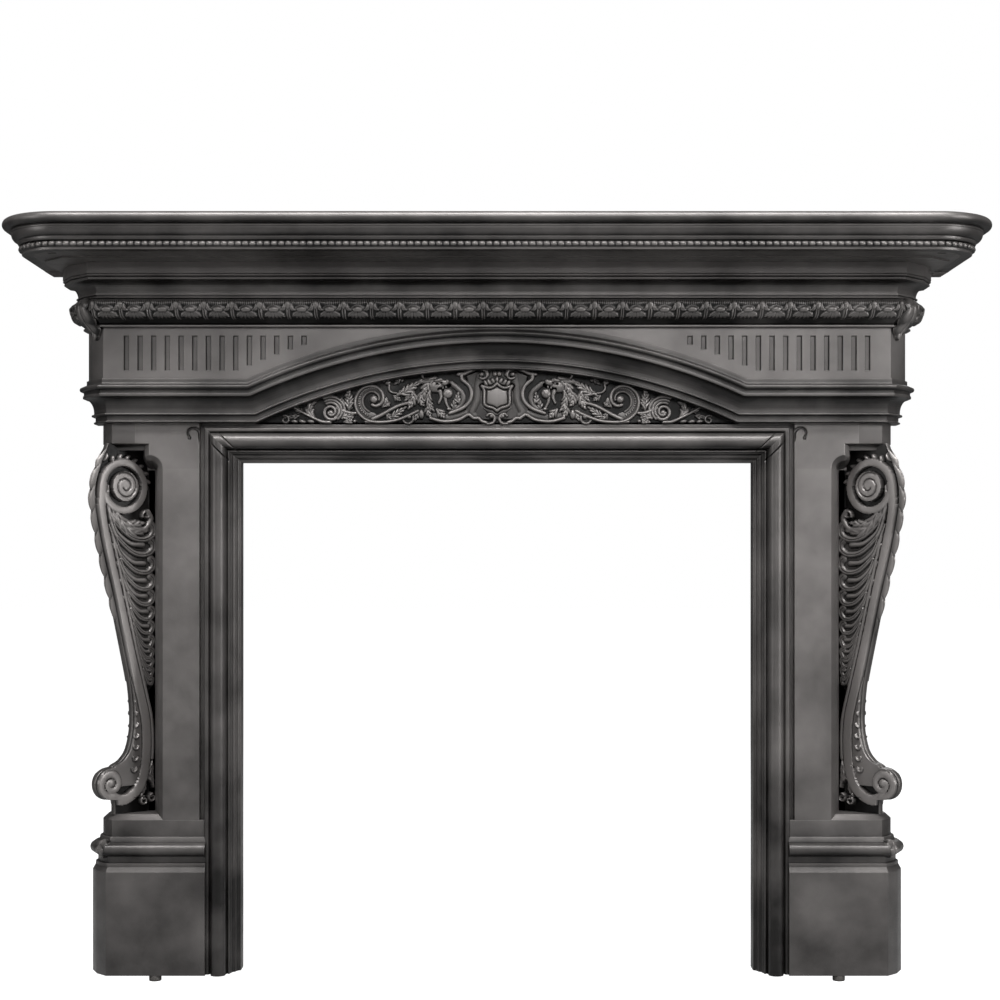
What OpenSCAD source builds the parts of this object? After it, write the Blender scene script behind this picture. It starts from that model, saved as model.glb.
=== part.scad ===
// Cast iron fireplace surround: a moulded shelf on an arched frieze, two jambs on plinths and
// two scrolled brackets set into the cut corners of the jambs.
// +X is to the right of someone facing the fireplace, -Y comes out from the wall into the room
// and +Z is up. The castings are hollow at the back, as they come from the mould.

/* [Opening] */
// Width of the fire opening
opening_w = 914; // [800:1:1100]
// Height of the fire opening
opening_h = 907; // [780:1:1100]
// Width of the moulded frame round the opening
frame_w = 60.7; // [56:0.1:80]

/* [Body] */
// Width of each jamb at the wall, from the edge of the opening to the end of the frieze
jamb_w = 272; // [265:1:420]
// Depth of the frieze from the wall to its face
frieze_d = 84.5; // [80:0.5:110]
// Height of the plain frieze above the lower mouldings
frieze_h = 88; // [80:1:160]
// How far the frieze face stands in front of the pilasters
pilaster_in = 24.6; // [18:0.1:28]
// How far the frieze face stands in front of the plinths
plinth_in = 7; // [5:0.1:12]
// Wall thickness of the castings
wall = 7; // [6:0.5:9]

/* [Corners] */
// Width and depth of the 45 degree face at each front corner
cant = 22.6; // [20:0.1:28]
// Sideways run of the steep face behind the 45 degree one
splay_x = 14.8; // [12:0.1:18]
// Depth of that steep face
splay_d = 31.2; // [26:0.1:34]

/* [Shelf] */
// Thickness of the shelf from its soffit to its top
shelf_t = 59; // [59:1:75]
// Clear soffit at each side, outside the frieze
soffit_side = 84.5; // [70:0.5:110]
// Clear soffit in front of the frieze
soffit_front = 149.5; // [120:0.5:180]
// Radius of the soffit's front corners
soffit_r = 80; // [60:1:100]
// How far the nosing stands out from the soffit's edge
nosing_out = 33; // [33:1:45]
// How far the back lip hangs below the soffit
lip_drop = 9; // [4:0.5:14]

/* [Arch] */
// Half of the arch's span, at its top edge
arch_half = 440; // [400:1:450]
// How far the floor of the tympanum lies behind the frieze face
tympanum_in = 31.7; // [28:0.1:34]
// Number of flutes at each side of the arch
flutes = 14; // [8:1:16]
// Width of a flute
flute_w = 9.6; // [6:0.1:12]
// Depth of a flute
flute_d = 4; // [2:0.1:5]
// Distance from one flute to the next
flute_pitch = 24; // [20:0.1:28]
// Distance from the centre line to the innermost flute
flute_start = 339; // [330:1:360]

/* [Jambs] */
// Height of the flat plinth face
plinth_h = 182; // [120:1:260]
// Height of the plinth's cap mouldings
cap_h = 61; // [61:1:80]
// Height of the low block between the cap and the recess
ledge_h = 38; // [20:1:60]
// Height of the block above the recess
head_h = 36; // [30:1:60]
// Width of the groove between frame and pilaster
groove_w = 9.2; // [6:0.1:12]
// Width of the flat pilaster face beside the groove
pilaster_w = 64.5; // [50:0.5:80]
// Radius of a foot lug
lug_r = 11; // [8:0.5:14]
// Height that each foot lug stands out below its plinth
lug_drop = 10; // [4:0.5:20]

/* [Brackets] */
// Thickness of a bracket's scrolls
scroll_t = 28; // [24:0.5:32]
// Thickness of the web between the scrolls
web_t = 16; // [12:0.5:20]
// Width of the ribbon that forms the scrolls
ribbon_w = 14; // [10:0.5:16]
// Outer radius of the upper volute
volute_r = 50; // [44:0.5:54]
// Outer radius of the lower volute
foot_r = 31; // [26:0.5:34]

/* [Fixings] */
// Distance of each wall bolt in from the end of the frieze
bolt_in = 39; // [32:1:60]
// Height of the wall bolts below the soffit
bolt_drop = 50; // [45:1:60]
// Radius of a wall bolt's hole
bolt_r = 5.5; // [4:0.1:7]

/* [Hidden] */
$fn = 48;
iron = "#4a4846";

// Shapes that a moulding's line takes on its way to the next point
STRAIGHT = 0;
ROUND = 1;
HOLLOW = 2;
BEAD = 3;
steps = 4;

half_open = opening_w / 2;
half_body = half_open + jamb_w;
side_d = frieze_d - cant - splay_d;
band_h = 78;
jamb_h = opening_h + frame_w + 6.6;
spring_z = jamb_h + band_h;
cornice_h = 111;
bed_t = 3;
soffit_z = spring_z + frieze_h + cornice_h;
top_z = soffit_z + shelf_t;
bolt_z = soffit_z - bolt_drop;
soffit_half = half_body + soffit_side;
soffit_d = frieze_d + soffit_front;
ledge_z = plinth_h + cap_h + ledge_h;
recess_z = jamb_h - head_h;
groove_x = half_open + frame_w;
face_x = groove_x + groove_w + pilaster_w;
recess_x = face_x + 22;
pilaster_d = frieze_d - pilaster_in;

// The arch passes through both ends of its span and rises to the fillet under the leaf band
arch_rise = frieze_h + 6;
arch_r = (arch_half * arch_half + arch_rise * arch_rise) / (2 * arch_rise);
arch_z = spring_z + arch_rise - arch_r;

// ---- Mouldings ----

// Points of a quarter ellipse after a, up to and with b. It leaves a sideways where side_first is set.
function quarter(a, b, side_first) = [for (i = [1:steps])
    let (t = 90 * i / steps)
    side_first
        ? [a.x + (b.x - a.x) * sin(t), a.y + (b.y - a.y) * (1 - cos(t))]
        : [a.x + (b.x - a.x) * (1 - cos(t)), a.y + (b.y - a.y) * sin(t)]];

// Points of a half round that swells outwards between a and b
function bead(a, b) = [for (i = [1:2 * steps])
    let (t = 180 * i / (2 * steps), r = abs(b.y - a.y) / 2)
    [a.x + (b.x - a.x) * i / (2 * steps) + r * sin(t), a.y + (b.y - a.y) * (1 - cos(t)) / 2]];

// A round swells towards the outside whether the line goes out or in, and a hollow does the opposite
function stretch(a, b) =
    b[2] == ROUND ? quarter(a, b, b.x > a.x)
    : b[2] == HOLLOW ? quarter(a, b, b.x < a.x)
    : b[2] == BEAD ? bead(a, b)
    : [[b.x, b.y]];

// The outline of a run of members, each [projection, height, shape]
function outline(members) = [for (i = [0:len(members) - 1])
    each i == 0 ? [[members[0].x, members[0].y]] : stretch(members[i - 1], members[i])];

// Outward direction at a corner, so that both faces beside it move by one
function mitre(a, b) = [cos(a) + cos(b), sin(a) + sin(b)] / (1 + cos(a - b));

// Plan of the body at a projection from the frieze: side, splay, 45 degree face and front.
// A plan is a closed ring that passes behind the wall, where the casting is then cut off.
splay_a = atan2(splay_x, splay_d);
behind = 100;
function right_plan(p, start) = [
    [half_body + p, start],
    [half_body, side_d] + p * mitre(0, splay_a),
    [half_body - splay_x, side_d + splay_d] + p * mitre(splay_a, 45),
    [half_body - splay_x - cant, frieze_d] + p * mitre(45, 90)];
function flip(points) = [for (i = [len(points) - 1:-1:0]) [-points[i].x, points[i].y]];
function body_plan(p) = concat(right_plan(p, -behind - p), flip(right_plan(p, -behind - p)));

// Plan of the shelf at a projection from the soffit's edge, with round front corners
function shelf_corner(p) = [for (i = [0:8])
    let (t = 90 * i / 8, r = soffit_r + p)
    [soffit_half - soffit_r + r * cos(t), soffit_d - soffit_r + r * sin(t)]];
function shelf_plan(p) = concat([[soffit_half + p, -behind - p]], shelf_corner(p),
                                flip(shelf_corner(p)), [[-soffit_half - p, -behind - p]]);

function backwards(list) = [for (i = [len(list) - 1:-1:0]) list[i]];

// Skin over rings of points, where each ring is one line of the outline carried along the path
module skin(rings) {
    m = len(rings);
    k = len(rings[0]);
    polyhedron(points = [for (ring = rings) each ring],
               faces = [for (i = [0:m - 1], j = [0:k - 1])
                   let (a = i * k + j, b = (i + 1) % m * k + j,
                        c = (i + 1) % m * k + (j + 1) % k, d = i * k + (j + 1) % k)
                   each [[a, b, c], [a, c, d]]]);
}

// Cuts off what lies behind the wall's face
module before_wall() {
    difference() {
        children();
        translate([-1500, 0, -100]) cube([3000, 400, 2500]);
    }
}

// Carries an outline [projection, height] round a plan
module wrap(profile, plan) {
    skin([for (q = profile) [for (s = plan(q.x)) [s.x, -s.y, q.y]]]);
}

// A flat plate over an area given in plan
module plate(points, z, t) {
    translate([0, 0, z]) linear_extrude(t) polygon([for (q = points) [q.x, -q.y]]);
}

// A panel parallel to the wall, from a drawing in X and Z, between two depths from the wall
module panel(d0, d1) {
    translate([0, -d0, 0]) rotate([90, 0, 0]) linear_extrude(d1 - d0) children();
}

// Both hands of a thing drawn on the right
module hand(side) {
    mirror([side < 0 ? 1 : 0, 0, 0]) children();
}

// Moves the model so that its origin lies midway between the wall bolts
module placed() {
    translate([0, 0, -bolt_z]) children();
}

// ---- Shelf ----

module shelf_rim() {
    edge = outline([
        [0, 0], [0, 5], [1.5, 5], [1.5, 14, BEAD], [4, 15.5], [7, 22, ROUND],
        [nosing_out - 15, 36, ROUND], [nosing_out - 14, 38], [nosing_out - 16, 41.5],
        [nosing_out - 9, 41.5], [nosing_out, 50, ROUND], [nosing_out - 9, shelf_t, ROUND],
        [-22, shelf_t], [-22, shelf_t - wall], [nosing_out - 26, shelf_t - wall - 2],
        [-7, 22], [-8, wall], [-20, wall], [-20, 0]]);
    translate([0, 0, soffit_z]) before_wall() wrap(backwards(edge), function (p) shelf_plan(p));
}

// The bed is a thin step under the soffit, between the shelf and the cornice
module bed_area(inset) {
    x = half_body + 54 - inset;
    d = frieze_d + 84.5 - inset;
    cut = 40;
    polygon([[-x, 0], [-x, -d + cut], [-x + cut, -d], [x - cut, -d], [x, -d + cut], [x, 0]]);
}

module shelf() {
    slot_x = soffit_half - 60;
    slot_d = frieze_d + 113;
    color(iron) placed() {
        difference() {
            union() {
                shelf_rim();
                before_wall() plate(shelf_plan(-15), soffit_z + shelf_t - wall, wall);
                difference() {
                    union() {
                        before_wall() plate(shelf_plan(-15), soffit_z, wall);
                        translate([0, 0, soffit_z - bed_t]) linear_extrude(wall) bed_area(0);
                    }
                    plate(body_plan(10), soffit_z - 2 * wall, 4 * wall);
                }
                translate([-soffit_half, -wall, soffit_z]) cube([2 * soffit_half, wall, shelf_t - 1]);
                for (side = [-1, 1]) hand(side) panel(0, wall)
                    polygon([[half_body + 50, soffit_z + 1], [half_body + 50, soffit_z - lip_drop],
                             [soffit_half - 15, soffit_z - lip_drop], [soffit_half, soffit_z],
                             [soffit_half, soffit_z + 1]]);
            }
            for (side = [-1, 1]) hand(side) translate([slot_x, -slot_d, soffit_z - 1])
                linear_extrude(wall + 2) {
                    translate([-3, 0]) circle(4.5);
                    translate([3, 0]) circle(4.5);
                    square([6, 9], center = true);
                }
        }
    }
}

// ---- Frieze casting ----

// Cornice, leaf band and frieze, measured down from the top of the cornice
module cornice() {
    back = -wall;
    foot = cornice_h + frieze_h - 1.5;
    members = [
        [44, bed_t], [44, 22.5], [41.5, 22.5], [41.5, 27, BEAD], [39, 27.5], [39, 33, BEAD],
        [36.5, 33.5], [18, 54, HOLLOW], [21, 54], [21, 57], [18, 57], [18, 59.5], [20, 59.5],
        [20, 63, BEAD], [14, 63], [14, 65.5], [25, 65.5], [32.5, 75, ROUND], [21, 98, ROUND],
        [7, 107], [9, 107.5], [9, cornice_h], [0, cornice_h], [0, foot], [back, foot], [back, 105],
        [12, 94], [20, 78], [8, 68], [8, 54], [26, 34], [34, 24], [34, bed_t + wall],
        [4, bed_t + wall], [4, bed_t]];
    before_wall() wrap([for (q = outline(members)) [q.x, soffit_z - q.y]], function (p) body_plan(p));
}

// The lower mouldings run level from the wall to the arch, turn up it and run on to the other wall
band_members = [
    [-3, 1.5], [3.5, 1.5], [3.5, 6.3], [7, 12.5, HOLLOW], [11, 12.5], [11, 21.5, BEAD], [8.5, 21.5],
    [8.5, 28], [10, 28], [10, 33], [7, 34], [-9, 58, HOLLOW], [-9, 60.5], [-7, 61],
    [-7, 65.5, BEAD], [-11.5, 66], [-11.5, 73.5], [-10.5, 74], [-10.5, band_h, BEAD],
    [-pilaster_in - wall - 5, band_h], [-pilaster_in - wall - 5, 62], [-24, 50], [-14, 24], [-14, 1.5]];

function band_row(p, drop) =
    let (level = spring_z - drop,
         r = arch_r - drop,
         turn = asin((level - arch_z) / r),
         plan = right_plan(p, -behind - p),
         d = frieze_d + p,
         arc = [for (i = [0:28]) let (a = turn + (180 - 2 * turn) * i / 28)
             [r * cos(a), -d, arch_z + r * sin(a)]],
         ends = [for (s = plan) [s.x, -s.y, level]])
    concat(ends, arc, [for (i = [len(ends) - 1:-1:0]) [-ends[i].x, ends[i].y, level]]);

module band() {
    before_wall() skin([for (q = outline(band_members)) band_row(q.x, q.y)]);
}

// Area under a concentric arc, above the level z
module arch_area(drop, z) {
    r = arch_r - drop;
    intersection() {
        translate([0, arch_z]) circle(r, $fn = 180);
        translate([-r, z]) square([2 * r, 2 * r]);
    }
}

// Flutes shorten towards the arch so that they keep a margin above it
module flute_row() {
    top = spring_z + frieze_h - 14;
    lowest = spring_z + 12.5;
    for (i = [0:flutes - 1]) {
        x = flute_start + i * flute_pitch;
        arc_x = min(x - flute_w / 2, arch_half);
        over_arch = arch_z + sqrt(arch_r * arch_r - arc_x * arc_x) + 17;
        bottom = max(lowest, over_arch);
        translate([x - flute_w / 2, bottom]) square([flute_w, top - bottom]);
    }
}

// Section of the frame: across from the opening's edge, and out from the wall
frame_members = [
    [0, 0], [0, 33], [6.5, 39, ROUND], [8, 39], [8, 44], [14, 53, ROUND], [15, 53],
    [15.5, 58], [16.5, 62, ROUND], [18.5, 62], [20, 58]];
frame_roll_r = 13.2;
frame_roll_c = [35.2, 69.5];
frame_roll = [for (i = [0:12]) let (a = 200 - 220 * i / 12)
    frame_roll_c + frame_roll_r * [cos(a), sin(a)]];
frame_back = [
    [50, 62], [53, 67], [frame_w - 3, 67], [frame_w, 64], [frame_w, 30],
    [frame_w - wall, 30], [frame_w - wall, 54], [46, 54], [35, 70], [27, 60],
    [20, 48], [12, 32], [wall, 28], [wall, 0]];

module frame_section() {
    polygon(concat(outline(frame_members), frame_roll, frame_back));
}

// The frame above the opening with the strip that joins it to the tympanum, cut at 45 degrees
// at both ends where it meets the frame of the jambs
module lintel() {
    floor_d = frieze_d - tympanum_in;
    difference() {
        union() {
            translate([-groove_x, 0, opening_h]) rotate([90, 0, 90])
                linear_extrude(2 * groove_x) rotate(90) frame_section();
            panel(floor_d - wall, floor_d) translate([-groove_x, opening_h + frame_w - 5])
                square([2 * groove_x, 14]);
        }
        for (side = [-1, 1]) hand(side) panel(-1, 200)
            polygon([[half_open - 2, opening_h - 2], [groove_x + 50, opening_h - 2],
                     [groove_x + 50, opening_h + frame_w + 50]]);
    }
}

// A ring of round section lying on the tympanum's floor
module ring(x, z, r, t, a0 = 0, a1 = 360) {
    translate([x, -(frieze_d - tympanum_in), z]) rotate([90, 0, 0])
        rotate([0, 0, a0]) rotate_extrude(angle = a1 - a0) translate([r, 0]) circle(t);
}

// A pointed leaf from the origin along X
module leaf(long, wide) {
    polygon(concat([for (t = [0:30:180]) [long * t / 180, wide * sin(t)]],
                   [for (t = [150:-30:30]) [long * t / 180, -wide * sin(t)]]));
}

// The larger carving: a bare shield in strapwork, with two scrolls and leaves at each side
module carving() {
    floor_d = frieze_d - tympanum_in;
    mid_z = jamb_h + 41;
    panel(floor_d - 2, floor_d + 13) translate([0, mid_z])
        polygon([[-22, 22], [-11, 18], [0, 23], [11, 18], [22, 22], [22, -4], [14, -17],
                 [0, -24], [-14, -17], [-22, -4]]);
    panel(floor_d - 2, floor_d + 6) translate([0, mid_z])
        polygon([[-34, 34], [34, 34], [46, 10], [40, -18], [24, -34], [-24, -34], [-40, -18],
                 [-46, 10]]);
    for (side = [-1, 1]) hand(side) {
        ring(84, mid_z + 10, 38, 6);
        ring(216, mid_z - 4, 30, 6);
        ring(291, mid_z - 22, 20, 4.5);
        ring(150, mid_z - 14, 20, 5);
        for (k = [0:2]) panel(floor_d - 2, floor_d + 8 - k)
            translate([330 + 15 * k, mid_z - 26 - 2 * k]) rotate(-20) leaf(26, 9 - 2 * k);
    }
}

module frieze() {
    floor_d = frieze_d - tympanum_in;
    lug_x = half_body - bolt_in;
    color(iron) placed() difference() {
        union() {
            difference() {
                cornice();
                panel(frieze_d - 2 * wall, frieze_d + 3) arch_area(26, spring_z - 60);
                panel(frieze_d - flute_d, frieze_d + 20) for (side = [-1, 1])
                    scale([side, 1]) flute_row();
            }
            band();
            lintel();
            panel(floor_d - wall, floor_d) arch_area(band_h - 6, jamb_h - 4);
            carving();
            for (side = [-1, 1]) hand(side) translate([lug_x - 20, -wall, bolt_z - 20])
                cube([half_body + 12 - lug_x + 20, wall, 40]);
        }
        for (side = [-1, 1]) hand(side) translate([lug_x, -2 * wall, bolt_z]) rotate([-90, 0, 0])
            cylinder(r = bolt_r, h = 4 * wall);
    }
}

// ---- Jambs ----

// Plinth, cap and pilaster from the floor up
module jamb_shell() {
    face = -pilaster_in;
    members = [
        [-plinth_in, 0], [-plinth_in, plinth_h], [-plinth_in - 5, plinth_h + 9],
        [-plinth_in - 5, plinth_h + 15], [-plinth_in - 9, plinth_h + 16],
        [-plinth_in - 9, plinth_h + 27], [-plinth_in - 7, plinth_h + 28],
        [-plinth_in - 7, plinth_h + 51, BEAD], [-plinth_in - 11, plinth_h + 52],
        [-plinth_in - 13, plinth_h + cap_h], [face + 2, plinth_h + cap_h], [face, ledge_z],
        [face, jamb_h], [face - wall, jamb_h], [face - wall, plinth_h + 18],
        [-plinth_in - wall - 8, plinth_h], [-plinth_in - wall, plinth_h - 12], [-plinth_in - wall, 0]];
    inner_x = half_open + frame_w - 3;
    difference() {
        before_wall() wrap(backwards(outline(members)), function (p)
            concat(right_plan(p, -behind - p),
                   [[inner_x - 100 - p, frieze_d + p], [inner_x - 100 - p, -behind - p]]));
        translate([inner_x - 400, -300, -1]) cube([400, 300, jamb_h + 2]);
    }
}

// Plan of a jamb's outer part, to close the ledge and the block above the recess
function corner_area(p) = concat([[face_x - 8, 0]], right_plan(p, 0), [[face_x - 8, frieze_d + p]]);

// Opening for the bracket, round at its upper inner corner
module recess_area() {
    r = 24;
    polygon(concat([[face_x, ledge_z], [900, ledge_z], [900, recess_z], [face_x + r, recess_z]],
        [for (i = [0:6]) let (t = 90 * i / 6) [face_x + r - r * sin(t), recess_z - 44 + r * cos(t)]]));
}

// Slanting wall that closes the jamb beside the recess
module recess_wall() {
    d = pilaster_d;
    plate([[face_x - 6, d - 1], [face_x, d - 1], [recess_x, 0], [recess_x - wall, 0],
           [face_x - 9, d - wall - 1]], ledge_z - 4, recess_z - ledge_z + 8);
}

// What belongs to the lintel, above the 45 degree joint
module lintel_area() {
    polygon([[half_open - 10, opening_h - 10], [groove_x, opening_h + frame_w],
             [groove_x, jamb_h + 10], [half_open - 10, jamb_h + 10]]);
}

module jamb() {
    groove_d = 42;
    difference() {
        union() {
            difference() {
                jamb_shell();
                panel(-1, 200) recess_area();
                translate([groove_x, -200, ledge_z]) cube([groove_w, 200 - groove_d, jamb_h]);
            }
            linear_extrude(opening_h + frame_w) translate([half_open, 0])
                mirror([0, 1]) frame_section();
            translate([groove_x - 5, -groove_d, 0]) cube([groove_w + 5 + wall, wall, jamb_h]);
            translate([groove_x + groove_w, -pilaster_d + 1, 0])
                cube([wall, pilaster_d - groove_d + wall - 1, jamb_h]);
            recess_wall();
            plate(corner_area(-pilaster_in - 1), ledge_z - wall, wall);
            plate(corner_area(-pilaster_in - 1), recess_z, wall);
        }
        panel(-1, 200) lintel_area();
    }
}

// ---- Brackets ----

// A bracket is drawn in its own upright plane: s runs out from the corner at 45 degrees and z is up
bracket_x = half_body - 48;
bracket_d = 49.3;
volute_c = [-14, recess_z - volute_r - 26];
foot_c = [12, ledge_z + foot_r + 24];

module upright() {
    translate([bracket_x, -bracket_d, 0]) rotate([0, 0, -45]) rotate([90, 0, 0]) children();
}

// Smooth line through a few control points
function smooth(p, n) = [for (i = [0:len(p) - 2], j = [0:n - 1])
    let (a = p[max(i - 1, 0)], b = p[i], c = p[i + 1], d = p[min(i + 2, len(p) - 1)], t = j / n)
    0.5 * (2 * b + t * (c - a) + t * t * (2 * a - 5 * b + 4 * c - d)
           + t * t * t * (3 * b - a - 3 * c + d))];

// A ribbon of even width along a line
function ribbon(line, w) =
    let (n = len(line) - 1,
         side = [for (i = [0:n]) let (v = line[min(i + 1, n)] - line[max(i - 1, 0)])
             [-v.y, v.x] / norm(v) * w / 2])
    concat([for (i = [0:n]) line[i] + side[i]], [for (i = [n:-1:0]) line[i] - side[i]]);

// A spiral that closes from radius r0 to r1
function spiral(c, r0, r1, a0, turn, n = 40) = [for (i = [0:n])
    let (a = a0 + turn * i / n, r = r0 + (r1 - r0) * i / n) c + r * [cos(a), sin(a)]];

module bracket() {
    z0 = ledge_z;
    z1 = recess_z;
    h = z1 - z0;
    back = -78;
    outer = smooth([[14, z1], [29, z1 - 0.055 * h], [42, z1 - 0.14 * h], [31, z1 - 0.246 * h],
                    [4, z1 - 0.408 * h], [-19, z1 - 0.557 * h], [-34, z1 - 0.67 * h],
                    [-38, z1 - 0.76 * h], [-27, z1 - 0.83 * h], [4, z1 - 0.875 * h]], 5);
    stem = smooth([[volute_c.x + volute_r - ribbon_w / 2, volute_c.y], [17, z1 - 0.286 * h],
                   [-5.4, z1 - 0.421 * h], [-27, z1 - 0.557 * h], [-46, z1 - 0.667 * h],
                   [-59, z1 - 0.75 * h], [-61, z1 - 0.832 * h], [-54, z1 - 0.899 * h],
                   [-40, z1 - 0.938 * h], [-13, z1 - 0.957 * h],
                   [foot_c.x, foot_c.y - foot_r + ribbon_w / 2]], 6);
    upright() {
        translate([0, 0, -web_t / 2]) linear_extrude(web_t) polygon(concat(
            [[back, z0], [back, z1 - 20], [-60, z1]], outer,
            [[foot_c.x - foot_r + 6, foot_c.y + 10], [foot_c.x, foot_c.y], [foot_c.x, z0]]));
        translate([0, 0, -scroll_t / 2]) linear_extrude(scroll_t) {
            polygon(ribbon(stem, ribbon_w));
            polygon(ribbon(spiral(volute_c, volute_r - ribbon_w / 2, 14, 0, 500), ribbon_w));
            polygon(ribbon(spiral(foot_c, foot_r - ribbon_w / 2, 8, -100, 420), ribbon_w * 0.8));
            translate(volute_c) circle(15);
            translate(foot_c) circle(10);
        }
        for (i = [0:11]) {
            z = z1 - 130 - 26 * i;
            s = -48 - 1.2 * i;
            translate([s, z, -web_t / 2 - 4]) cylinder(r = 14 - 0.5 * i, h = web_t + 8, $fn = 24);
        }
    }
}

module bracket_part(side) {
    trim = 600;
    color(iron) placed() hand(side) intersection() {
        bracket();
        translate([recess_x, -trim, ledge_z]) cube([trim, trim, recess_z - ledge_z]);
    }
}

// ---- Feet ----

module foot_part(side) {
    x = face_x + 12;
    d = frieze_d - plinth_in - lug_r;
    color(iron) placed() hand(side) translate([x, -d, -lug_drop]) cylinder(r = lug_r, h = lug_drop);
}

module jamb_left() { color(iron) placed() hand(-1) jamb(); }
module jamb_right() { color(iron) placed() hand(1) jamb(); }
module bracket_left() bracket_part(-1);
module bracket_right() bracket_part(1);
module foot_left() foot_part(-1);
module foot_right() foot_part(1);

shelf();
frieze();
jamb_left();
jamb_right();
bracket_left();
bracket_right();
foot_left();
foot_right();
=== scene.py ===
"""Looks of the cast iron fireplace surround: finely moulded castings with a carved tympanum,
leaf band and scrolled brackets, in black-leaded iron. Sizes inside the functions are in
millimetres: x to the right, d out from the wall, z up from the hearth."""
import math

import bpy
import numpy as np
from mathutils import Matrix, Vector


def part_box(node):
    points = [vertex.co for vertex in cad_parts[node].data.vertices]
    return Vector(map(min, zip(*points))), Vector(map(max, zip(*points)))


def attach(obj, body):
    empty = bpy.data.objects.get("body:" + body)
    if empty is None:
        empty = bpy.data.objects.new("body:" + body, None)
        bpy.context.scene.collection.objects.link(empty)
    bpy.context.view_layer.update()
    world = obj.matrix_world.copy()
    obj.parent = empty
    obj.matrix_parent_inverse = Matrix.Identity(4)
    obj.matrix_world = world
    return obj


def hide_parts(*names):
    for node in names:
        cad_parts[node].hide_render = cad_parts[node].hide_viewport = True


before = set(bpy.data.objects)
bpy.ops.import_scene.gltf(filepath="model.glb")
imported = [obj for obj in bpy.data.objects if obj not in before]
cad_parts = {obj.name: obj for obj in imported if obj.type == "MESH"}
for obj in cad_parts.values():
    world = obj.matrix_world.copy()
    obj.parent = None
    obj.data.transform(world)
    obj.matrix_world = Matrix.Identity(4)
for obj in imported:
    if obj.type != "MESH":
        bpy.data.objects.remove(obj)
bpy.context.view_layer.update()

# ---- Sizes taken from the frame ----

MM = 0.001
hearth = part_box("jamb_right")[0].z


def from_box(node, corner, axis):
    """A side of a node's box in millimetres, to a tenth, with heights from the hearth."""
    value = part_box(node)[corner][axis]
    return round(float(value - (hearth if axis == 2 else 0)) / MM, 1)


half_open = from_box("jamb_right", 0, 0)
jamb_h = from_box("jamb_right", 1, 2)
top_z = from_box("shelf", 1, 2)
shelf_half = from_box("shelf", 1, 0)
shelf_d = -from_box("shelf", 0, 1)
cornice_half = from_box("frieze", 1, 0)
cornice_d = -from_box("frieze", 0, 1)
recess_z = from_box("bracket_right", 1, 2)
ledge_z = from_box("bracket_right", 0, 2)
lug_x = (from_box("foot_right", 0, 0) + from_box("foot_right", 1, 0)) / 2
lug_d = -(from_box("foot_right", 0, 1) + from_box("foot_right", 1, 1)) / 2
lug_r = (from_box("foot_right", 1, 0) - from_box("foot_right", 0, 0)) / 2
lug_drop = -from_box("foot_right", 0, 2)

shelf_t = 59.0
nosing_out = 33.0
cornice_out = 44.0
wall = 7.0
band_h = 78.0
frame_w = 60.7
frame_top = 6.6
cant = 22.6
splay_x = 14.8
splay_d = 31.2
cornice_h = 111.0
bed_t = 3.0
arch_half = 440.0
face = -24.6
floor_in = 31.7
soffit_r = 80.0
ledge_t = 9.0
chamfer = 9.7
corner_r = 24.0

opening_h = jamb_h - frame_w - frame_top
spring_z = jamb_h + band_h
soffit_z = top_z - shelf_t
frieze_h = soffit_z - spring_z - cornice_h
half_body = cornice_half - cornice_out
frieze_d = cornice_d - cornice_out
soffit_half = shelf_half - nosing_out
soffit_d = shelf_d - nosing_out
side_d = frieze_d - cant - splay_d
floor_d = frieze_d - floor_in
pilaster_d = frieze_d + face
groove_x = half_open + frame_w
groove_w = 9.2
pilaster_x = groove_x + groove_w
face_x = pilaster_x + 64.5
arch_rise = frieze_h + 6.0
arch_r = (arch_half ** 2 + arch_rise ** 2) / (2 * arch_rise)
arch_z = spring_z + arch_rise - arch_r
corner_z = recess_z - 44.0

# ---- Tone of the plain shells, set part by part as painted light and shade: 0 is dark as a hollow, 1 light as a polished edge ----

KEPT = 2.0
face_painted_light = 0.70
frieze_painted_light = 0.72
plinth_painted_shade = 0.27
frame_painted_shade = 0.32
arch_painted_shade = 0.31

# ---- Mouldings ----

STRAIGHT, ROUND, HOLLOW, BEAD = range(4)


def stretch(a, b, shape, steps):
    """Points after a, up to b. A round or hollow is a quarter ellipse and a bead a half circle
    that swells outwards."""
    (ax, ay), (bx, by) = a, b
    if shape == BEAD:
        t = np.linspace(0, math.pi, 2 * steps + 1)[1:]
        share = t / math.pi
        swell = abs(by - ay) / 2 * np.sin(t)
        return np.stack([ax + (bx - ax) * share + swell, ay + (by - ay) * (1 - np.cos(t)) / 2], 1)
    if shape == STRAIGHT:
        return np.array([[bx, by]])
    t = np.linspace(0, math.pi / 2, steps + 1)[1:]
    side_first = (bx > ax) if shape == ROUND else (bx < ax)
    u, v = (np.sin(t), 1 - np.cos(t)) if side_first else (1 - np.cos(t), np.sin(t))
    return np.stack([ax + (bx - ax) * u, ay + (by - ay) * v], 1)


def outline(members, steps=7):
    """Points of a run of members, each (projection, height) with an optional shape."""
    runs = [np.array([members[0][:2]], float)]
    for last, member in zip(members, members[1:]):
        shape = member[2] if len(member) > 2 else STRAIGHT
        runs.append(stretch(last[:2], member[:2], shape, steps))
    return np.concatenate(runs)


def eased(points, r=0.7):
    """A closed outline whose corners are cut back by r, or by a share of a shorter edge, and
    bridged by a parabola, as sand casting leaves them. Smooth stretches hardly change."""
    most = 0.35
    before = np.roll(points, 1, 0) - points
    after = np.roll(points, -1, 0) - points
    long_b = np.linalg.norm(before, axis=1, keepdims=True)
    long_a = np.linalg.norm(after, axis=1, keepdims=True)
    start = points + before * np.minimum(r, most * long_b) / np.maximum(long_b, 1e-9)
    end = points + after * np.minimum(r, most * long_a) / np.maximum(long_a, 1e-9)
    middle = (start + 2 * points + end) / 4
    return np.stack([start, middle, end], 1).reshape(-1, 2)


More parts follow.
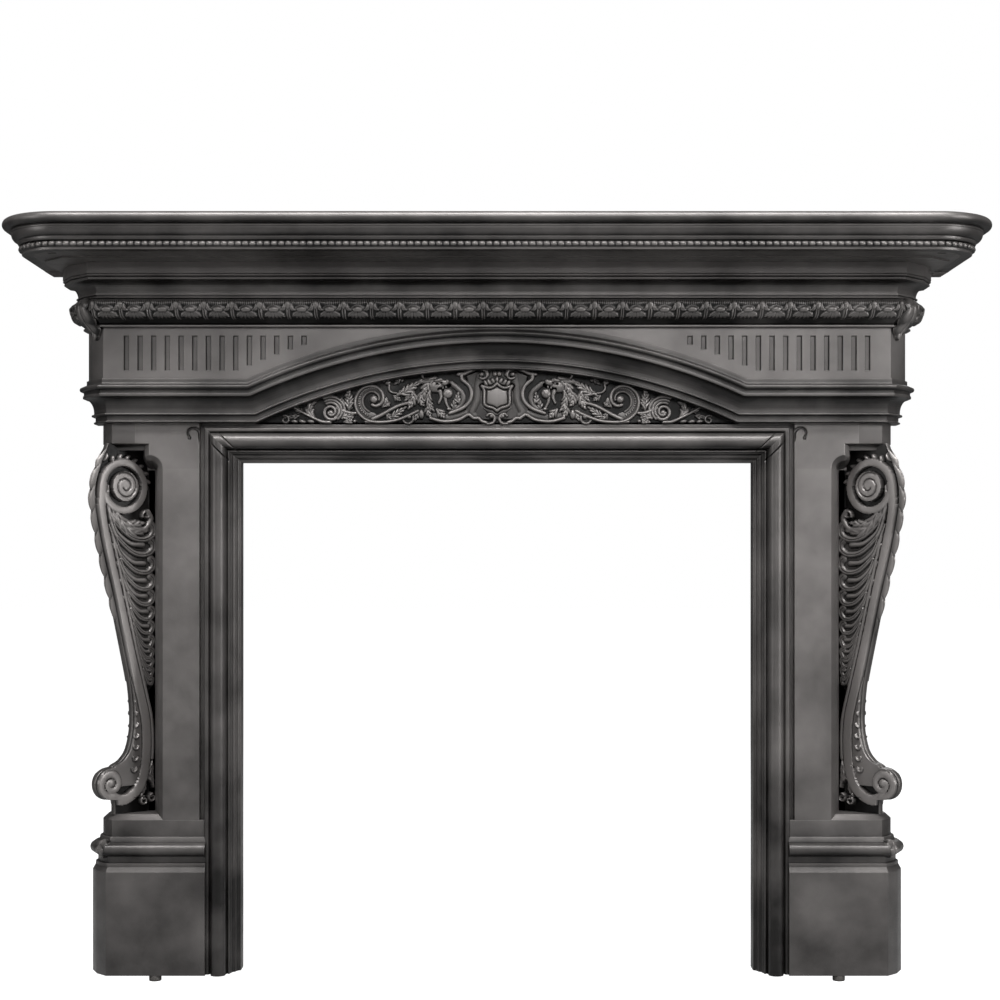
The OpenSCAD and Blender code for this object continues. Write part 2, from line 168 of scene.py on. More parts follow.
# ---- Shells: closed surfaces as grids ----


def loft(rings, height=0.5):
    """A closed shell through rings of points: ring i, point j joins ring i + 1 and point j + 1,
    and the first and last rings are capped."""
    m, k = rings.shape[:2]
    i, j = np.meshgrid(np.arange(m - 1), np.arange(k), indexing="ij")
    nxt = (j + 1) % k
    quads = np.stack([i * k + j, (i + 1) * k + j, (i + 1) * k + nxt, i * k + nxt], -1)
    caps = [np.arange(k), (m - 1) * k + np.arange(k)[::-1]]
    return {"points": rings.reshape(-1, 3), "quads": quads.reshape(-1, 4), "caps": caps,
            "height": np.broadcast_to(height, rings.shape[:2]).reshape(-1)}


def hoop(rings, height=0.5):
    """A closed shell like a hoop: the last ring joins the first, so there are no caps."""
    m, k = rings.shape[:2]
    i, j = np.meshgrid(np.arange(m), np.arange(k), indexing="ij")
    up, nxt = (i + 1) % m, (j + 1) % k
    quads = np.stack([i * k + j, up * k + j, up * k + nxt, i * k + nxt], -1)
    return {"points": rings.reshape(-1, 3), "quads": quads.reshape(-1, 4), "caps": [],
            "height": np.broadcast_to(height, rings.shape[:2]).reshape(-1)}


def volume(shell):
    """Signed volume: a sixth of the sum over all triangles of a . (b x c)."""
    p, q = shell["points"], shell["quads"]
    fans = [np.stack([np.full(len(c) - 2, c[0]), c[1:-1], c[2:]], 1) for c in shell["caps"]]
    tris = np.concatenate([q[:, [0, 1, 2]], q[:, [0, 2, 3]], *fans])
    a, b, c = p[tris[:, 0]], p[tris[:, 1]], p[tris[:, 2]]
    return float(np.einsum("ij,ij->i", a, np.cross(b, c)).sum()) / 6


def turned_out(shell):
    """The shell with its faces pointing outwards."""
    if volume(shell) < 0:
        shell["quads"] = shell["quads"][:, ::-1]
        shell["caps"] = [c[::-1] for c in shell["caps"]]
    return shell


def ramp(x, width):
    """Rises from 0 at x = 0 to 1 at x = width, and stays there."""
    return np.clip(x / width, 0, 1)


def grid(x, d, z):
    """Points at x, depth d and height z, each repeated to the shape of all three."""
    return np.stack(np.broadcast_arrays(x, -d, z), -1)


def run_length(points):
    """Distance along a line of points from its first: the running sum of its steps."""
    return np.concatenate([[0], np.cumsum(np.linalg.norm(np.diff(points, axis=0), axis=1))])


def unit_normals(line):
    """Unit normals of a line, to the right of its direction."""
    slope = np.gradient(line, axis=0)
    normal = np.stack([slope[:, 1], -slope[:, 0]], 1)
    return normal / np.linalg.norm(normal, axis=1, keepdims=True)


def mirrored(shell):
    """The same shell on the other side of the centre line."""
    return {**shell, "points": shell["points"] * [-1, 1, 1]}


def on_side(word, shells):
    """Shells as they are on the right, or mirrored for the left."""
    return [mirrored(shell) for shell in shells] if word == "left" else shells


def slab(points, z0, z1, height=0.5):
    """A flat plate over a closed outline (x, d), from z0 to z1."""
    ring = np.stack([points[:, 0], -points[:, 1], np.zeros(len(points))], 1)
    return loft(np.stack([ring + [0, 0, z0], ring + [0, 0, z1]]), height)


def panel(points, d0, d1):
    """A plate parallel to the wall over a closed outline (x, z), between two depths."""
    ring = np.stack([points[:, 0], np.zeros(len(points)), points[:, 1]], 1)
    return loft(np.stack([ring - [0, d0, 0], ring - [0, d1, 0]]))


def oblong(x0, x1, y0, y1):
    """The four corners of a rectangle."""
    return np.array([[x0, y0], [x1, y0], [x1, y1], [x0, y1]], float)


def wear_and_painted_shade(mesh, points, height):
    """The relief value of each vertex, which sets the iron's colour: its own height, darker in hollows
    and creases and on faces turned down, as painted shade, and lighter on edges, partly from rubbing
    and partly as a painted highlight. The bend is the mean of the edge directions along the normal,
    where an edge of length L counts as
    4 mm / (4 mm + L). A height of KEPT or more is kept as it is, less KEPT."""
    reach, cavity, underside = 4 * MM, 2.0, 0.5
    pairs = np.empty(2 * len(mesh.edges), np.int32)
    mesh.edges.foreach_get("vertices", pairs)
    a, b = pairs.reshape(-1, 2).T
    normals = np.empty(3 * len(points), np.float32)
    mesh.vertex_normals.foreach_get("vector", normals)
    normals = normals.reshape(-1, 3)
    step = points[b] - points[a]
    length = np.maximum(np.linalg.norm(step, axis=1, keepdims=True), 1e-9)
    step *= reach / (reach + length) / length
    ends = np.concatenate([a, b])
    rise = np.concatenate([(step * normals[a]).sum(1), -(step * normals[b]).sum(1)])
    count = np.maximum(np.bincount(ends, minlength=len(points)), 1)
    bend = np.bincount(ends, rise, minlength=len(points)) / count
    # Painted shade: faces turned down are made darker, as are hollows and creases through the bend.
    shade = underside * np.clip(-normals[:, 2], 0, 1)
    worn_and_shaded = np.clip(height - cavity * bend - shade, 0, 1)
    return np.where(height >= KEPT, height - KEPT, worn_and_shaded).astype(np.float32)


def piece(name, shells, node, material, sharp=32):
    """One mesh from closed shells, in metres in the shared frame, smooth up to the sharp angle."""
    shells = [turned_out(s) for s in shells]
    starts = np.cumsum([0] + [len(s["points"]) for s in shells[:-1]])
    points = np.concatenate([s["points"] for s in shells]) * MM + [0, 0, hearth]
    loops, totals = [], []
    for s, start in zip(shells, starts):
        loops += [s["quads"].reshape(-1) + start, *[c + start for c in s["caps"]]]
        totals += [np.full(len(s["quads"]), 4), np.array([len(c) for c in s["caps"]], int)]
    loops, totals = np.concatenate(loops), np.concatenate(totals)
    mesh = bpy.data.meshes.new(name)
    mesh.vertices.add(len(points))
    mesh.vertices.foreach_set("co", points.astype(np.float32).ravel())
    mesh.loops.add(len(loops))
    mesh.loops.foreach_set("vertex_index", loops.astype(np.int32))
    mesh.polygons.add(len(totals))
    mesh.polygons.foreach_set("loop_start", (np.cumsum(totals) - totals).astype(np.int32))
    mesh.update(calc_edges=True)
    mesh.validate()
    # The relief attribute holds painted shade and painted light besides rubbing; the iron's colour
    # follows it.
    relief = mesh.attributes.new("relief", "FLOAT", "POINT")
    heights = np.concatenate([s["height"] for s in shells])
    relief.data.foreach_set("value", wear_and_painted_shade(mesh, points, heights))
    mesh.polygons.foreach_set("use_smooth", np.ones(len(mesh.polygons), bool))
    mesh.set_sharp_from_angle(angle=math.radians(sharp))
    obj = bpy.data.objects.new(name, mesh)
    bpy.context.scene.collection.objects.link(obj)
    mesh.materials.append(material)
    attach(obj, "root")
    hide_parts(node)
    return obj


# ---- Plans ----


def mitre(a, b):
    """Direction that moves both faces beside a corner out by one."""
    return np.array([math.cos(a) + math.cos(b), math.sin(a) + math.sin(b)]) / (1 + math.cos(a - b))


def dense(base, out, step):
    """A path with a point about every step between its corners: place and outward direction both
    go linearly from corner to corner."""
    bases, outs = [base[:1]], [out[:1]]
    for i in range(len(base) - 1):
        n = max(1, int(round(np.linalg.norm(base[i + 1] - base[i]) / step)))
        t = (np.arange(n) + 1)[:, None] / n
        bases.append(base[i] + (base[i + 1] - base[i]) * t)
        outs.append(out[i] + (out[i + 1] - out[i]) * t)
    return np.concatenate(bases), np.concatenate(outs)


def both_sides(base, out):
    """A path from the wall to the front, carried on to the other wall as its mirror image."""
    flip = np.array([-1, 1])
    return np.concatenate([base, base[::-1] * flip]), np.concatenate([out, out[::-1] * flip])


splay_a = math.atan2(splay_x, splay_d)
DIAGONAL, FORWARD = math.pi / 4, math.pi / 2


def body_corners():
    """Right half of the body's plan from the wall: side, splay, 45 degree face and front corner."""
    base = np.array([[half_body, 0], [half_body, side_d], [half_body - splay_x, side_d + splay_d],
                     [half_body - splay_x - cant, frieze_d]])
    out = np.array([[1, 0], mitre(0, splay_a), mitre(splay_a, DIAGONAL), mitre(DIAGONAL, FORWARD)])
    return base, out


def to_front(x):
    """The right half of the body's plan, carried along the front to x."""
    base, out = body_corners()
    return np.vstack([base, [x, frieze_d]]), np.vstack([out, [0, 1]])


def shelf_path(steps=20):
    """The shelf's plan: side, round corner and front, from wall to wall."""
    t = np.linspace(0, FORWARD, steps + 1)[:, None]
    round_ = np.hstack([np.cos(t), np.sin(t)])
    centre = np.array([soffit_half - soffit_r, soffit_d - soffit_r])
    base = np.vstack([[soffit_half, 0], centre + soffit_r * round_])
    return both_sides(base, np.vstack([[1, 0], round_]))


def swept(p, z, path):
    """Rings along a plan path: projection p and height z give the point base + p * out."""
    base, out = path
    xd = base[:, None, :] + p[..., None] * out[:, None, :]
    return grid(xd[..., 0], xd[..., 1], z)


def wrap(profile, path):
    """Rings of one profile (projection, height) at each point of a plan path."""
    return swept(profile[None, :, 0], profile[:, 1], path)


# ---- Shelf ----


def bead_strip():
    """A row of long beads round the rim: a half round whose radius, at a distance s along the rim,
    is 0.12 + 0.88 * |sin(pi s / pitch)|^0.55 of its full one."""
    pitch, height, low = 12.0, 9.0, 5.0
    path = dense(*shelf_path(), 1.5)
    s = run_length(path[0])
    swell = 0.12 + 0.88 * np.abs(np.sin(math.pi * s / pitch)) ** 0.55
    t = np.linspace(0, math.pi, 9)
    p = 1.5 + height / 2 * np.sin(t)[None, :] * swell[:, None]
    z = low + height / 2 * (1 - np.cos(t))
    p = np.hstack([p, np.full((len(s), 2), -2.0)])
    z = np.concatenate([z, [low + height, low]]) + soffit_z
    # Painted highlight with some rubbing: each bead is lighter towards its crest, most where it swells
    # fullest.
    tone = np.hstack([0.85 * np.outer(swell ** 2, np.sin(t)), np.zeros((len(s), 2))])
    return loft(swept(p, z, path), tone)


def shelf_rim():
    """The rim from the soffit's edge up over the nosing to the top, with its hollow inside."""
    members = [(0, 0), (0, 4.5), (1.2, 5), (1.2, 14), (4, 15.5), (7, 22, ROUND),
               (nosing_out - 15, 36, ROUND), (nosing_out - 14, 38), (nosing_out - 16, 41.5),
               (nosing_out - 9, 41.5), (nosing_out, 50, ROUND), (nosing_out - 9, shelf_t, ROUND),
               (-22, shelf_t), (-22, shelf_t - wall), (nosing_out - 26, shelf_t - wall - 2),
               (-7, 22), (-8, wall), (-20, wall), (-20, 0)]
    profile = eased(outline(members, 9)) + [0, soffit_z]
    return loft(wrap(profile, shelf_path(28)))


def holed_plate(edge, centre, half_x, half_y, z0, z1):
    """A plate with a slot: the edge and the slot are joined along rays from the slot's centre, and
    the slot is a super-ellipse."""
    ray = edge - centre
    angle = np.arctan2(ray[:, 1], ray[:, 0])
    c, s = np.abs(np.cos(angle)) / half_x, np.abs(np.sin(angle)) / half_y
    r = (c ** 4 + s ** 4) ** -0.25
    hole = centre + r[:, None] * np.stack([np.cos(angle), np.sin(angle)], 1)
    rings = [np.stack([q[:, 0], -q[:, 1], np.full(len(q), z)], 1)
             for q, z in ((edge, z0), (edge, z1), (hole, z1), (hole, z0))]
    return hoop(np.stack(rings))


def even_ring(points, step):
    """A closed outline with points about every step."""
    return dense(np.vstack([points, points[:1]]), np.zeros((len(points) + 1, 2)), step)[0][:-1]


def shelf_soffit():
    """The soffit beside and before the cornice, with a slot near each front corner."""
    inner = half_body - 6
    base, out = shelf_path(12)
    half = len(base) // 2
    edge = (base - 20 * out)[:half]
    edge = edge[edge[:, 0] > inner]
    front_d = soffit_d - 20
    side = np.vstack([[inner, 0], edge, [inner, front_d]])
    slot = np.array([soffit_half - 60, frieze_d + 113])
    plate = holed_plate(even_ring(side, 6), slot, 7.5, 4.5, soffit_z, soffit_z + wall)
    front = slab(oblong(-inner, inner, frieze_d - 10, front_d), soffit_z, soffit_z + wall)
    return [plate, mirrored(plate), front]


def shelf_bed():
    """The thin step round the top of the cornice, with canted corners, and the back lip."""
    x, d, cut, lip = half_body + 54, frieze_d + 84.5, 40.0, 9.0
    bed = np.array([[-x, 0.5], [-x, d - cut], [-x + cut, d], [x - cut, d], [x, d - cut], [x, 0.5]])
    tab = np.array([[half_body + 50, 1], [half_body + 50, -lip], [soffit_half - 15, -lip],
                    [soffit_half, 0], [soffit_half, 1]]) + [0, soffit_z]
    lips = panel(tab, 0, wall)
    back = panel(oblong(10 - soffit_half, soffit_half - 10, soffit_z + 1, top_z - 2), 0, wall)
    return [slab(bed, soffit_z - bed_t, soffit_z + 2), lips, mirrored(lips), back]


def shelf_top():
    """The flat top inside the rim."""
    base, out = shelf_path(28)
    return slab(base - 22 * out, top_z - wall, top_z)


# ---- Frieze ----


def cornice():
    """The mouldings under the shelf, wrapped round the body. Heights are drops from the soffit."""
    members = [(44, bed_t), (44, 22.5), (41.5, 22.5), (41.5, 27, BEAD), (39, 27.5), (39, 33, BEAD),
               (36.5, 33.5), (18, 54, HOLLOW), (21, 54), (21, 57), (18, 57), (18, 59.5), (20, 59.5),
               (20, 63, BEAD), (14, 63), (14, 68), (12, 100), (4, 107), (9, 107.5), (9, cornice_h),
               (-wall, cornice_h), (-wall, 105), (2, 94), (6, 78), (4, 68), (8, 54), (26, 34),
               (34, 24), (34, bed_t + wall), (4, bed_t + wall), (4, bed_t)]
    profile = eased(outline(members, 8), 0.5)
    profile[:, 1] = soffit_z - profile[:, 1]
    return loft(wrap(profile, both_sides(*body_corners())))


def arc_top(x, drop):
    """Height of the arch's arc, drop below its top edge, at x from the centre line."""
    return arch_z + np.sqrt((arch_r - drop) ** 2 - np.minimum(np.abs(x), arch_half) ** 2)


def frieze_face():
    """The fluted face: columns across the front, each with six heights that follow the arch and
    the ends of its flute. The points inside a flute lie back by its depth. Its tone is kept as
    given: painted light on the face, painted shade in the flutes, darkest along their edges."""
    flutes, width, depth, pitch, start, slope, inset = 14, 9.6, 5.0, 24.0, 339.0, 1.1, 1.2
    # Tones kept as given: the face as painted light, the flute floors a little darker and the flutes'
    # edges darkest, as painted shade where their walls would shade.
    ground, middle_of_flute, edge_of_flute = KEPT + 0.72, KEPT + 0.62, KEPT
    low, high = spring_z - 3, soffit_z - cornice_h + 1
    centres = start + pitch * np.arange(flutes)
    corner = width / 2 - slope
    across = [-width / 2, -corner, inset - corner, corner - inset, corner, width / 2]
    edges = centres[:, None] + np.array(across)
    plain = np.arange(0, start - pitch / 2, 6.0)
    end = half_body - splay_x - cant
    right = np.concatenate([plain, edges.ravel(), [end]])
    x = np.concatenate([-right[:0:-1], right])
    middle = start + pitch * np.round((np.abs(x) - start) / pitch)
    inside = np.abs(np.abs(x) - middle) < width / 2 - slope / 2
    fluted = inside & (np.abs(x) > start - pitch / 2) & (np.abs(x) < end - 1)
    bottom = np.where(np.abs(x) < arch_half, arc_top(x, 3), low)
    bottom = np.clip(bottom, low, high)
    foot = np.maximum(spring_z + 12.5, np.where(middle - width / 2 < arch_half,
                                                arc_top(middle - width / 2, 0) + 17, 0))
    head = spring_z + frieze_h - 14
    rows = np.stack([bottom, foot, foot + slope, np.full(len(x), head - slope),
                     np.full(len(x), head), np.full(len(x), high)], 1)
    rows = np.maximum.accumulate(np.clip(rows, bottom[:, None], high), axis=1)
    even = bottom[:, None] + (high - bottom[:, None]) * np.linspace(0, 1, 6)
    rows = np.where(np.abs(x)[:, None] < start - pitch / 2, even, rows)
    d = np.full(rows.shape, frieze_d)
    d[:, 2:4] -= depth * fluted[:, None]
    z = np.hstack([rows, rows[:, -1:], rows[:, :1]])
    d = np.hstack([d, np.full((len(x), 2), frieze_d - wall)])
    in_flute = np.where(np.abs(np.abs(x) - middle) > corner - 0.6, edge_of_flute, middle_of_flute)
    tone = np.full(z.shape, ground)
    tone[:, 2:4] = np.where(fluted, in_flute, ground)[:, None]
    return loft(grid(x[:, None], d, z), tone)


def frieze_end():
    """The plain wall at the right end of the frieze, round its splay and 45 degree face."""
    profile = np.array([[0, soffit_z - cornice_h + 1], [0, spring_z - 3], [-wall, spring_z - 3],
                        [-wall, soffit_z - cornice_h + 1]])
    return loft(wrap(profile, body_corners()), frieze_painted_light)


def arch_band():
    """The lower mouldings: level round each end, then up and over the arch, where each line is an
    arc about the arch's centre that starts at its own level."""
    members = [(-3, 1.5), (3.5, 1.5), (3.5, 6.3), (7, 12.5, HOLLOW), (11, 12.5), (11, 21.5, BEAD),
               (8.5, 21.5), (8.5, 28), (10, 28), (10, 33), (7, 34), (-9, 58, HOLLOW), (-9, 60.5),
               (-7, 61), (-7, 65.5, BEAD), (-11.5, 66), (-11.5, 73.5), (-10.5, 74),
               (-10.5, band_h, BEAD), (-36.6, band_h), (-36.6, 62), (-24, 50), (-14, 24), (-14, 1.5)]
    profile = eased(outline(members, 8), 0.5)
    p, drop = profile[:, 0], profile[:, 1]
    r, level = arch_r - drop, spring_z - drop
    turn = np.arcsin((level - arch_z) / r)
    base, out = body_corners()
    ends = wrap(np.stack([p, level], 1), (base, out))
    angle = turn + (math.pi - 2 * turn) * np.linspace(0, 1, 121)[:, None]
    arc = grid(r * np.cos(angle), frieze_d + p, arch_z + r * np.sin(angle))
    return loft(np.concatenate([ends, arc, ends[::-1] * [-1, 1, 1]]), arch_painted_shade)


# ---- Frame round the opening ----


def frame_section():
    """Section of the frame: across from the opening's edge, and out from the wall."""
    t = np.radians(np.linspace(200, -20, 23))
    roll = np.array([35.2, 69.5]) + 13.2 * np.stack([np.cos(t), np.sin(t)], 1)
    inner = outline([(0, 0), (0, 33), (6.5, 39, ROUND), (8, 39), (8, 44), (14, 53, ROUND), (15, 53),
                     (15.5, 58), (16.5, 62, ROUND), (18.5, 62), (20, 58)])
    back = [[50, 62], [53, 67], [frame_w - 3, 67], [frame_w, 64], [frame_w, 30],
            [frame_w - wall, 30], [frame_w - wall, 54], [46, 54], [35, 70], [27, 60], [20, 48],
            [12, 32], [wall, 28], [wall, 0]]
    return eased(np.vstack([inner, roll, back]), 0.5)


def corner_tie(section, along):
    """Raises the mouldings near the mitred joint into a strip between two incised lines, where
    along is the distance from the joint."""
    off = along[:, None] / math.sqrt(2)
    q, v = section[:, 0], section[:, 1]
    on_roll = ramp(q - 14, 6) * ramp(52 - q, 4) * (v > 57)
    strip = 1.2 * ramp(11 - off, 2) - 2.2 * np.exp(-((off - 11.5) / 1.0) ** 2)
    return v + strip * on_roll


def tie_stations(length):
    """Distances from the mitred joint, close together over the tie and its incised lines."""
    near = np.array([0, 4, 8, 11, 13, 14.2, 15.2, 16.2, 17.2, 18.4, 20, 24])
    return np.concatenate([near, [length / 2, length]])


def jamb_frame():
    """The upright of the frame. Its rings lean with the mitre near the head and are level below."""
    section = frame_section()
    q = section[:, 0]
    along = tie_stations(opening_h)
    v = corner_tie(section, along)
    z = (opening_h + q)[None, :] * (1 - along / opening_h)[:, None]
    z = np.where(along[:, None] < 30, (opening_h + q)[None, :] - along[:, None], z)
    return loft(grid(half_open + q, v, z), frame_painted_shade)


def lintel():
    """The frame over the opening, mitred at both ends, and the flat strip above it."""
    section = frame_section()
    q = section[:, 0]
    near = tie_stations(2 * half_open)[:-2]
    v_near = corner_tie(section, near)
    x_near = (half_open + q)[None, :] - near[:, None]
    x = np.concatenate([x_near, -x_near[::-1]])
    v = np.concatenate([v_near, v_near[::-1]])
    strip = panel(oblong(-groove_x - 1, groove_x + 1, opening_h + frame_w - 5, jamb_h + 2),
                  floor_d - wall, floor_d)
    return [loft(grid(x, v, opening_h + q)), strip]


# ---- Relief: heights over a drawing plane ----


def smooth_line(points, n=8):
    """Catmull-Rom line through a few control points."""
    p = np.asarray(points, float)
    padded = np.vstack([2 * p[0] - p[1], p, 2 * p[-1] - p[-2]])
    t = (np.arange(n) / n)[None, :, None]
    a, b, c, d = (padded[i:len(padded) - 3 + i, None, :] for i in range(4))
    line = 0.5 * (2 * b + t * (c - a) + t ** 2 * (2 * a - 5 * b + 4 * c - d)
                  + t ** 3 * (3 * b - a - 3 * c + d))
    return np.vstack([line.reshape(-1, 2), p[-1:]])


def coil(centre, r0, r1, a0, turn, n=48):
    """Spiral about a centre from radius r0 to r1, starting at angle a0 and turning by turn, in
    degrees."""
    t = np.linspace(0, 1, n)
    a = np.radians(a0 + turn * t)
    r = r0 + (r1 - r0) * t
    return np.stack([centre[0] + r * np.cos(a), centre[1] + r * np.sin(a)], 1)


class Relief:
    """Heights over a grid u, v. Each stroke keeps the greater of what is there and its own form."""

    def __init__(self, u, v, ground=0.0, full=1.0):
        self.u, self.v, self.full = u, v, full
        self.h = np.full(u.shape, float(ground))

    def near(self, line, reach):
        """Slices of the grid that hold every point within reach of a line, empty if there is none."""
        lo, hi = line.min(0) - reach, line.max(0) + reach
        hit = (self.u > lo[0]) & (self.u < hi[0]) & (self.v > lo[1]) & (self.v < hi[1])
        if not hit.any():
            return slice(0, 0), slice(0, 0)
        i, j = np.nonzero(hit.any(1))[0], np.nonzero(hit.any(0))[0]
        return slice(i[0], i[-1] + 1), slice(j[0], j[-1] + 1)

    def along(self, line, area):
        """Distance to a line and the share of its length there, for an area of the grid."""
        u, v = self.u[area], self.v[area]
        best, share = np.full(u.shape, 1e9), np.zeros(u.shape)
        for i in range(len(line) - 1):
            a, step = line[i], line[i + 1] - line[i]
            t = ((u - a[0]) * step[0] + (v - a[1]) * step[1]) / max(step @ step, 1e-9)
            t = np.clip(t, 0, 1)
            du, dv = u - a[0] - t * step[0], v - a[1] - t * step[1]
            d = du * du + dv * dv
            closer = d < best
            best = np.where(closer, d, best)
            share = np.where(closer, (i + t) / (len(line) - 1), share)
        return np.sqrt(best), share

    def lift(self, area, inside, form):
        """Raises an area to a form where it is inside and higher."""
        self.h[area] = np.where(inside, np.maximum(self.h[area], form), self.h[area])

    def stem(self, points, w0, w1, height, base=0.0):
        """A ribbon along a smooth line through a few points."""
        self.stroke(smooth_line(points), w0, w1, height, base)

    def stroke(self, line, w0, w1, height, base=0.0, flat=0.5):
        """A rounded ribbon whose half width goes from w0 to w1. Its section is base plus height
        times (1 - (d / w)^2)^flat."""
        line = np.asarray(line, float)
        w0, w1 = w0 * self.full, w1 * self.full
        area = self.near(line, max(w0, w1))
        d, share = self.along(line, area)
        w = w0 + (w1 - w0) * share
        form = base + height * np.clip(1 - (d / w) ** 2, 0, 1) ** flat
        self.lift(area, d < w, form)

    def groove(self, line, w, depth):
        """A round-bottomed line cut into what is there."""
        line = np.asarray(line, float)
        area = self.near(line, w)
        d = self.along(line, area)[0]
        self.h[area] -= depth * np.clip(1 - (d / w) ** 2, 0, 1)

    def dome(self, centre, ru, rv, height, base=0.0, turn=0.0):
        """Half an ellipsoid, turned by an angle in degrees."""
        line = np.array([centre, centre], float)
        area = self.near(line, max(ru, rv))
        u, v = self.u[area] - centre[0], self.v[area] - centre[1]
        c, s = math.cos(math.radians(turn)), math.sin(math.radians(turn))
        k = ((u * c + v * s) / ru) ** 2 + ((v * c - u * s) / rv) ** 2
        form = base + height * np.sqrt(np.clip(1 - k, 0, 1))
        self.lift(area, k < 1, form)

    def leaf(self, spine, width, height, lobes=4, base=0.0):
        """A leaf along a spine: the half width is width * sin(pi s^0.8) with a lobed edge, the
        blade is domed, and a midrib and slanting veins are cut into it."""
        spine, width = smooth_line(spine, 6), width * self.full
        area = self.near(spine, width * 1.3)
        d, share = self.along(spine, area)
        wave = np.abs(np.sin(math.pi * lobes * (share - 0.3 * d / width)))
        w = width * np.sin(math.pi * np.clip(share, 0, 1) ** 0.8) * (0.66 + 0.44 * wave) + 0.6
        k = d / w
        form = base + height * np.sqrt(np.clip(1 - k ** 2, 0, 1)) * (0.8 + 0.2 * wave)
        form -= 0.16 * height * np.exp(-(d / 0.9) ** 2)
        self.lift(area, k < 1, form)


# ---- Tympanum ----


def cartouche(r):
    """Right half of the centre: a bare shield on a raised plate, scrolled straps round it."""
    side = np.interp(r.v, [6, 16, 29, 40, 52, 64, 72, 84, 94], [20, 58, 57, 47, 44, 47, 54, 56, 30])
    plate = np.minimum((side - r.u) / 3, np.minimum(r.v - 5, 97 - r.v) / 3)
    r.h = np.maximum(r.h, 3.0 * np.clip(plate, 0, 1))
    r.stem([[30, 84], [34, 62], [36, 40], [44, 20], [40, 14]], 8, 6, 3.0, base=1.0)
    r.dome((0, 46), 29, 32, 4.6, base=3.6)
    rim = smooth_line([[0, 71], [5, 66], [13, 62.5], [21, 64], [27, 66], [22.5, 58], [22.5, 44],
                       [22, 34], [16, 29.5], [7, 27], [0, 22]], 6)
    r.groove(rim, 5.5, 3.5)
    r.stroke(rim, 1.9, 1.9, 4.0, base=7.0)
    for w, line in ((3.0, [[68, 87], [58, 88], [50, 92], [40, 96], [29, 97], [20, 93], [17, 86]]),
                    (2.8, [[63, 88], [62, 78], [55, 72], [48, 64], [45, 52], [48, 40], [58, 29],
                           [72, 22], [84, 18]])):
        r.stem(line, w, w, 5.0, base=4.5)
    r.stroke(coil((26, 86), 9.5, 6.5, 80, 230), 2.2, 1.8, 4.0, base=5.5)
    r.dome((27.5, 87), 4.2, 4.2, 5.0, base=6.0)
    r.stroke(coil((13, 9.5), 11, 6, -70, -250), 2.2, 1.8, 4.5, base=4.5)
    r.dome((9.5, 13), 4.4, 4.4, 5.5, base=3.5)
    foot = smooth_line([[118, 9], [100, 4], [84, 3.5], [66, 7], [52, 15], [46, 13], [41, 9], [33, 9],
                        [27, 4], [20, 1.5]])
    r.stroke(foot, 2.6, 2.6, 5.0, base=4.0)
    r.stem([[112, 13], [92, 9], [72, 12], [56, 18]], 7, 5, 2.6, base=1.4)
    for x in (0, 7, 14, 20):
        r.dome((x, 78 - 0.35 * x), 3.2, 6.0, 4.0, base=5.0, turn=-25 * (x > 0))
    r.dome((4, 88), 4.2, 5.0, 4.2, base=5.0)
    r.stroke([[0, 99.5], [20, 98.5]], 2.0, 2.0, 4.0, base=3.5)


def beast(r):
    """A beast's head in a ring of leaves, looking inwards, with an open mouth and a mane."""
    r.stem([[82, 72], [72, 64], [62, 54], [60, 42], [66, 30], [80, 22]], 4.2, 3.4, 3.0,
             base=2.0)
    r.leaf([[66, 34], [70, 44], [68, 56]], 5, 5, 3, base=2)
    r.leaf([[76, 24], [76, 34], [71, 46]], 5, 5, 3, base=1)
    r.dome((107, 66), 17, 12, 7.0, base=2.0, turn=-12)
    r.dome((94, 72), 9, 5.5, 6.0, base=5.5, turn=8)
    r.dome((88.5, 74.5), 3.8, 3.4, 4.0, base=7.5)
    r.dome((104, 76.5), 7.5, 3.0, 3.6, base=8.0, turn=-14)
    r.groove([[98, 71.5], [107, 69.5]], 2.2, 4.0)
    r.dome((102.5, 70.8), 2.3, 1.9, 3.0, base=7.2)
    r.dome((87, 53), 9, 9.5, 7.0, base=3.0, turn=30)
    r.groove(smooth_line([[84, 68], [95, 62], [103, 60]]), 3.4, 7.0)
    for x, z in ((90, 64), (95.5, 63), (92, 58.5)):
        r.dome((x, z), 1.9, 2.8, 3.5, base=5.0)
    r.stem([[101, 57], [99, 47], [103, 36]], 3.4, 2.0, 4.5, base=2.5)
    r.stem([[92, 46], [90, 36], [86, 28]], 2.8, 2.0, 4.5, base=2.0)
    r.dome((85, 25.5), 4.4, 3.6, 5.0, base=3.0)
    r.leaf([[112, 76], [122, 70], [128, 58], [127, 46]], 8, 7, 4, base=3)
    r.leaf([[126, 60], [134, 48], [133, 36], [128, 30]], 7, 6.5, 4, base=2.5)
    r.leaf([[118, 60], [122, 44], [118, 30], [110, 20]], 6, 6, 4, base=2.5)
    r.stem([[110, 80], [126, 76], [140, 70], [160, 56], [176, 50]], 3.4, 2.0, 5.0, base=3.0)
    r.leaf([[122, 32], [122, 20], [116, 8]], 6, 6, 3, base=2)
    r.leaf([[108, 26], [98, 16], [92, 9]], 6.5, 6.5, 3, base=3)
    r.dome((134, 16), 5.4, 9.5, 6.0, base=1.5)
    r.dome((133, 90), 4.4, 4.4, 6.0, base=2.0)
    r.dome((91, 92), 3.2, 3.2, 4.5, base=2.0)
    r.stem([[133, 86], [130, 80], [122, 78]], 2.0, 1.6, 3.5, base=2.0)


